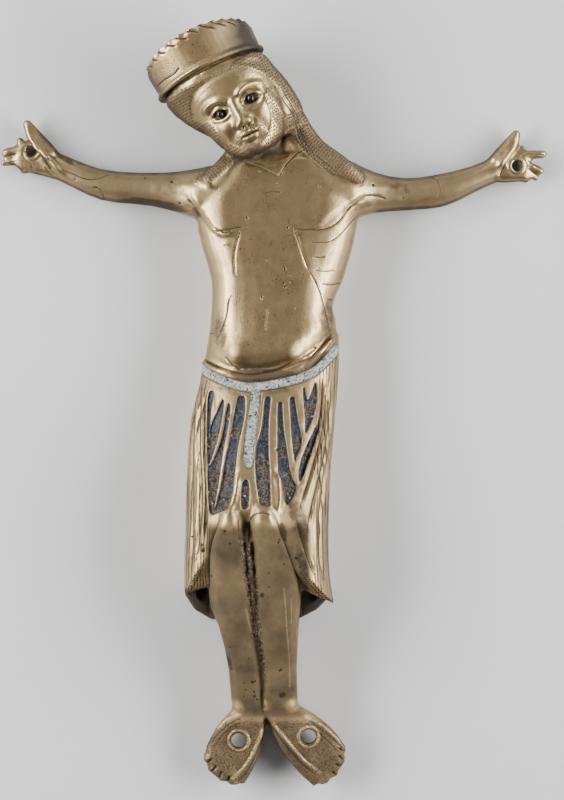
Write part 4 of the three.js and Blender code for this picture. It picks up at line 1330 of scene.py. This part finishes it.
def dullness():
    """How dull the gilding has gone, with painted shade under the hem, from 0 to 1."""
    arms = window(np.abs(x - TRUNK_MIDDLE), 28, 50, 7)
    hair = smooth(hair_depth, -0.1, 0.4)
    # painted shade: the inside of the cloth under the hem, behind the legs
    shade_under_hem = smooth(y, -66, -57) * (1 - smooth(y, -48.5, -47)) * (1 - smooth(skin.points[:, 2], 10, 12))
    panel = window(x, -17, 11.5, 2) * window(y, -29, 5, 3)
    right_folds = window(x, 12, 16, 2) * window(y, -50, 0, 5)
    body = (0.52 * arms, 0.78 * legs, 0.72 * feet, 0.55 * hair)
    dull = np.max((*body, 0.95 * shade_under_hem, 0.35 * panel, 0.35 * right_folds), axis=0)
    # rubbed gilding and painted highlights: no dullness at the listed spots
    for off in radii_from(RUBBED_BRIGHT_AND_HIGHLIGHTS, carving.flat):
        dull *= smooth(off, 0.3, 1.3)
    for half, height, line in ridges.values():
        near, distance, _, _ = beside(carving.flat, line, 1.6 * half)
        dull[near] *= 1 - min(1, height / 0.3) * (1 - smooth(distance / half, 0.5, 1.5))
    for column, row, radius in NAIL_HOLES.values():
        off = away_from((column, row), carving.flat)
        dull *= smooth(np.abs(off - radius - 0.1), 0.2, 0.5)
    return dull


x, y = carving.flat.T
feet = smooth(-y, 80.5, 84) * (front > 0.1)
legs = smooth(-y, 29, 33) * window(x, -16.5, 8.5, 2) * smooth(skin.points[:, 2], 7, 10) * (1 - feet)
under_belt = np.interp(x, *belt.T) - y
cloth = smooth(y, -53, -50) * smooth(under_belt, 1.2, 2.4) * smooth(np.abs(x + 3.2), 12.5, 14.5) * front
# the dirt and the dullness noted here carry painted shade too
skin.notes(
    line=np.where(front > 0.1, hairline, FAR),
    line_reach=hairline_reach,
    enamel=np.where(front > 0.2, enamel_depth, -2.0),
    lost=enamel_lost,
    pale=pale_depth,
    pit=pit_depth,
    shin_rough=shin_rough,
    beard=beard,
    hair=hair_depth,
    hair_along=hair_place[:, 0],
    hair_across=hair_place[:, 1],
    dull=dullness(),
    feet=feet,
    legs=legs,
    cloth=cloth,
    across_folds=across_folds(carving.flat),
    dirt=dirt_on(carving.flat) * front,
)
# painted shade: from its bent left end to its middle the crown darkens, and its right half stays dark
bent_end, middle_of_crown = on_part([(195, 0), (246, 0)])[:, 0]
band.notes(dull=0.95 * smooth(band.points[:, 0], bent_end, middle_of_crown))
print("measured the gilding")

# %% [markdown]
# Worn gilding over copper. The gold is thin: it is warm and bright on the rounded parts, brown where it has
# rubbed through, and black-brown in every groove. The back was never gilded, and shows brown copper with the
# marks of the file.

# %% Worn gilding
GOLD = (0.54, 0.39, 0.20)
RUBBED = (0.31, 0.19, 0.10)
PATINA = (0.035, 0.025, 0.018)
BARE_COPPER = (0.17, 0.095, 0.06)
FILED_COPPER = (0.075, 0.05, 0.035)
BUMP_DEPTH = 0.06  # in millimetres


def strokes(finish, along, across, long=0.78, wide=0.5):
    """Rows of short punched strokes, 1 in each of them."""
    place = finish.node("CombineXYZ", None, {"X": along * (1 / long), "Y": across * (1 / wide)})
    inputs = {"Vector": place, "Scale": 1.0, "Randomness": 0.4}
    return 1 - finish.node("TexVoronoi", {"voronoi_dimensions": "2D"}, inputs).rise(0.2, 0.42)


def metal_tones(finish, dark):
    """Gold, rubbed gold and patina, by noise, hollows and painted shade. Also how rubbed, dirty and shaded
    the metal is.
    """
    rubbed = finish.noise(7, 4).rise(0.42, 0.72) * 0.6 + finish.noise(1.3, 3).rise(0.5, 0.8) * 0.35
    near = finish.measured("hollow_near").rise(0.015, 0.11)
    far = finish.measured("hollow_far").rise(0.03, 0.6)
    # side: painted shade on the steep sides
    side = finish.measured("side") * (finish.noise(3, 3) * 0.5 + 0.7)
    # dull: worn gilding, with painted shade on the crown and under the hem
    dull = finish.measured("dull") * (finish.noise(8, 4) * 0.8 + 0.6)
    grime_and_shade = (near * 0.8).most(far * 0.85).most(side.least(1.0) * 0.93).most(dull)
    scratches = finish.noise(0.3, 2, stretch=(1, 0.06, 1)).rise(0.66, 0.74) * 0.4
    specks = finish.noise(0.5, 2).rise(0.61, 0.68) * finish.noise(7, 3).rise(0.4, 0.62) * 0.75
    specks = specks.most(scratches)
    colour = finish.mix(rubbed.least(1.0), GOLD, RUBBED)
    colour = finish.mix(grime_and_shade.most(specks), colour, PATINA)
    colour = finish.mix(dark, colour, PATINA)
    back = finish.measured("back")
    filed = finish.mix(finish.noise(5, 4).rise(0.35, 0.7), BARE_COPPER, FILED_COPPER)
    return finish.mix(back, colour, filed), rubbed, grime_and_shade.most(dark).most(back * 0.4)


def hairlines(finish, half):
    """A dark line of that half-width along the bottom of every groove."""
    line = 1 - finish.measured("line").maths("ABSOLUTE").rise(half * 0.6, half * 1.6)
    return line * (1 - finish.measured("line_reach").rise(0.35, 0.6))


print("mixed the gilding")

# %% [markdown]
# Enamel is glass: it doesn't shine like metal, and where it broke out its cell is left rough, with brown
# bedding and a few white crumbs, which also stand as painted glints off the bare metal. Each part of the
# casting mixes in by a number that its points carry.

# %% The casting's finish
BLUE_ENAMEL, DULL_ENAMEL, GREY_CRUMBS = (0.006, 0.012, 0.04), (0.016, 0.018, 0.024), (0.075, 0.072, 0.07)
# the white crumbs are also painted glints
BROKEN_GLASS, OLD_BEDDING, WHITE_CRUMBS_AND_GLINTS = (0.016, 0.014, 0.013), (0.12, 0.092, 0.07), (0.62, 0.58, 0.50)
PALE_ENAMEL, PALE_SPECKS = (0.42, 0.45, 0.41), (0.11, 0.11, 0.095)
PALE_PITS, PALE_EDGE = (0.035, 0.033, 0.03), (0.05, 0.045, 0.035)
RAW_CASTING = (0.30, 0.22, 0.14)
FOLD_LINES = 0.75  # from one fine line on the cloth to the next, in millimetres


def blue_enamel(finish, coarse, crumb):
    glaze = finish.mix(coarse.rise(0.38, 0.6), BLUE_ENAMEL, DULL_ENAMEL)
    return finish.mix(crumb.rise(0.5, 0.9) * 0.8, glaze, GREY_CRUMBS)


def broken_cell(finish, crumb):
    broken = finish.mix(crumb.rise(0.2, 0.75), BROKEN_GLASS, OLD_BEDDING)
    # white crumbs, which are also painted glints
    return finish.mix(crumb.rise(0.9, 0.94), broken, WHITE_CRUMBS_AND_GLINTS)


def pale_enamel(finish, speckle):
    chalky = finish.mix(speckle * 0.85, PALE_ENAMEL, PALE_SPECKS)
    chalky = finish.mix(finish.noise(0.9, 3).rise(0.58, 0.64), chalky, PALE_PITS)
    return finish.mix((1 - finish.measured("pale").rise(0.05, 0.32)) * 0.7, chalky, PALE_EDGE)


def corpus_finish():
    gilt = Finish("gilt_copper")
    line = hairlines(gilt, 0.1)
    grain = gilt.noise(0.6, 3, roughness=0.65)
    coarse = gilt.noise(1.5, 4, roughness=0.6)
    crumb = gilt.crumbs(0.33)
    enamel = gilt.measured("enamel").rise(-0.04, 0.03)
    lost = (gilt.measured("lost") + coarse * 1.2 + crumb * 0.5 - 0.85).rise(0.3, 0.6) * enamel
    pale = gilt.measured("pale").rise(-0.03, 0.03)
    pit = (gilt.measured("pit") + grain * 0.3 - 0.15).rise(-0.04, 0.06)
    hair = gilt.measured("hair").rise(-0.1, 0.15)
    beard = gilt.measured("beard").rise(-0.1, 0.15)
    along, across = gilt.measured("hair_along"), gilt.measured("hair_across")
    punched = strokes(gilt, along, across) * hair.most(beard)
    feet = gilt.measured("feet")
    legs = gilt.measured("legs")
    cloth = gilt.measured("cloth")
    specked = gilt.noise(0.4, 2).rise(0.5, 0.6) * feet
    shin = (gilt.measured("shin_rough") + coarse * 2 - 1).rise(0.3, 0.8)
    wobble = gilt.noise(3, 3, stretch=(1, 0.2, 1)) * 6
    wave = (gilt.measured("across_folds") * (2 * math.pi / FOLD_LINES) + wobble).maths("SINE")
    graven = wave.rise(0.1, 0.8) * cloth * gilt.noise(1.2, 3, stretch=(1, 0.15, 1)).rise(0.36, 0.52)
    # painted shade and dirt from the listed ovals
    dirt = (gilt.measured("dirt") + coarse * 0.8 - 0.4).rise(0.2, 0.75)
    dark = (punched * 0.88).most(pit * 0.92).most(specked * 0.7).most(shin * 0.55)
    dark = dark.most(graven * 0.85).most(dirt * 0.82).most(line * 0.88)
    colour, rubbed, grime_and_shade = metal_tones(gilt, dark)
    colour = gilt.mix(shin * crumb.rise(0.4, 0.9) * 0.85, colour, RAW_CASTING)

    speckle = gilt.noise(0.6, 3, roughness=0.7).rise(0.47, 0.57)
    colour = gilt.mix(enamel, colour, blue_enamel(gilt, coarse, crumb))
    colour = gilt.mix(lost, colour, broken_cell(gilt, crumb))
    colour = gilt.mix(pale, colour, pale_enamel(gilt, speckle))

    metal = (1 - enamel) * (1 - pale) * (1 - grime_and_shade * 0.5)
    rough = gilt.noise(2.5, 4) * 0.12 + legs * 0.3 + feet * 0.14 + rubbed * 0.1 + 0.29
    rough = (rough + grime_and_shade * 0.25).least(0.85)
    rough = rough * (1 - enamel) + enamel * 0.5 + lost * 0.2
    rough = rough * (1 - pale) + pale * 0.5
    filed = gilt.noise(0.35, 3, stretch=(1, 0.1, 1))
    height = filed * 0.45 + grain * 0.45 - line * 1.4 - pit * 0.8 - punched * 0.7
    height = height + crumb * (lost * 1.6 + shin * 1.4) - speckle * pale * 0.9 - specked * 1.2 - graven * 2.4
    bump = gilt.bump(height, BUMP_DEPTH)
    return gilt.dress(Base_Color=colour, Metallic=metal, Roughness=rough, Normal=bump, IOR=1.35)


corpus.data.materials.append(corpus_finish())
print("dressed the casting")

# %% [markdown]
# The crown has the same gilding, with rows of punched dots on its bent corner. The beads are nearly black
# glass, and very smooth, so that each shows a small bright point.

# %% The finishes of the crown and the beads
BEAD, BEAD_LIGHTER = (0.003, 0.003, 0.004), (0.012, 0.011, 0.012)


def crown_finish():
    gilt = Finish("crown_gilt_copper")
    line = hairlines(gilt, 0.15)
    dots = strokes(gilt, gilt.measured("round"), gilt.measured("below"), 0.6, 0.5) * gilt.measured("dotted")
    grain = gilt.noise(0.6, 3, roughness=0.65)
    colour, rubbed, grime_and_shade = metal_tones(gilt, (line * 0.95).most(dots * 0.5))
    rough = (gilt.noise(2.5, 4) * 0.12 + rubbed * 0.1 + grime_and_shade * 0.25 + 0.3).least(0.85)
    height = grain * 0.4 - line * 1.4 - dots * 0.6
    bump = gilt.bump(height, BUMP_DEPTH)
    return gilt.dress(Base_Color=colour, Metallic=1 - grime_and_shade * 0.5, Roughness=rough, Normal=bump)


def bead_finish():
    glass = Finish("dark_glass")
    return glass.dress(Base_Color=glass.mix(glass.noise(0.8, 2), BEAD, BEAD_LIGHTER), Roughness=0.08)


crown.data.materials.append(crown_finish())
glass = bead_finish()
for bead in beads.values():
    bead.data.materials.append(glass)
print("dressed the crown and", len(beads), "beads")

# %% [markdown]
# The skin is denser than it needs to be where it is plain, above all on the flat back. A Decimate modifier
# merges faces where that changes the form least, so the carved parts keep theirs. It can leave a point of the
# back a hair below the table, and such points are lifted to it.

# %% Thin the casting
SHARE_KEPT = 0.56


def thin(piece, share_kept):
    thinner = piece.modifiers.new("thinner", "DECIMATE")
    thinner.ratio = share_kept
    apply_modifiers(piece)
    for point in piece.data.vertices:
        point.co.z = max(point.co.z, 0)
    piece.data.calc_loop_triangles()
    return len(piece.data.loop_triangles)


skin.write()
band.write()
print("the casting keeps", thin(corpus, SHARE_KEPT), "triangles")

# %% [markdown]
# Last, each piece is put in the place of its solid.

# %% Finish
for piece, node, slot in (
    (corpus, "corpus", "gilt_copper"),
    (crown, "crown", "crown_gilt_copper"),
    (beads["left"], "eye_bead_left", "dark_glass"),
    (beads["right"], "eye_bead_right", "dark_glass"),
):
    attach(piece, "root")
    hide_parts(node)
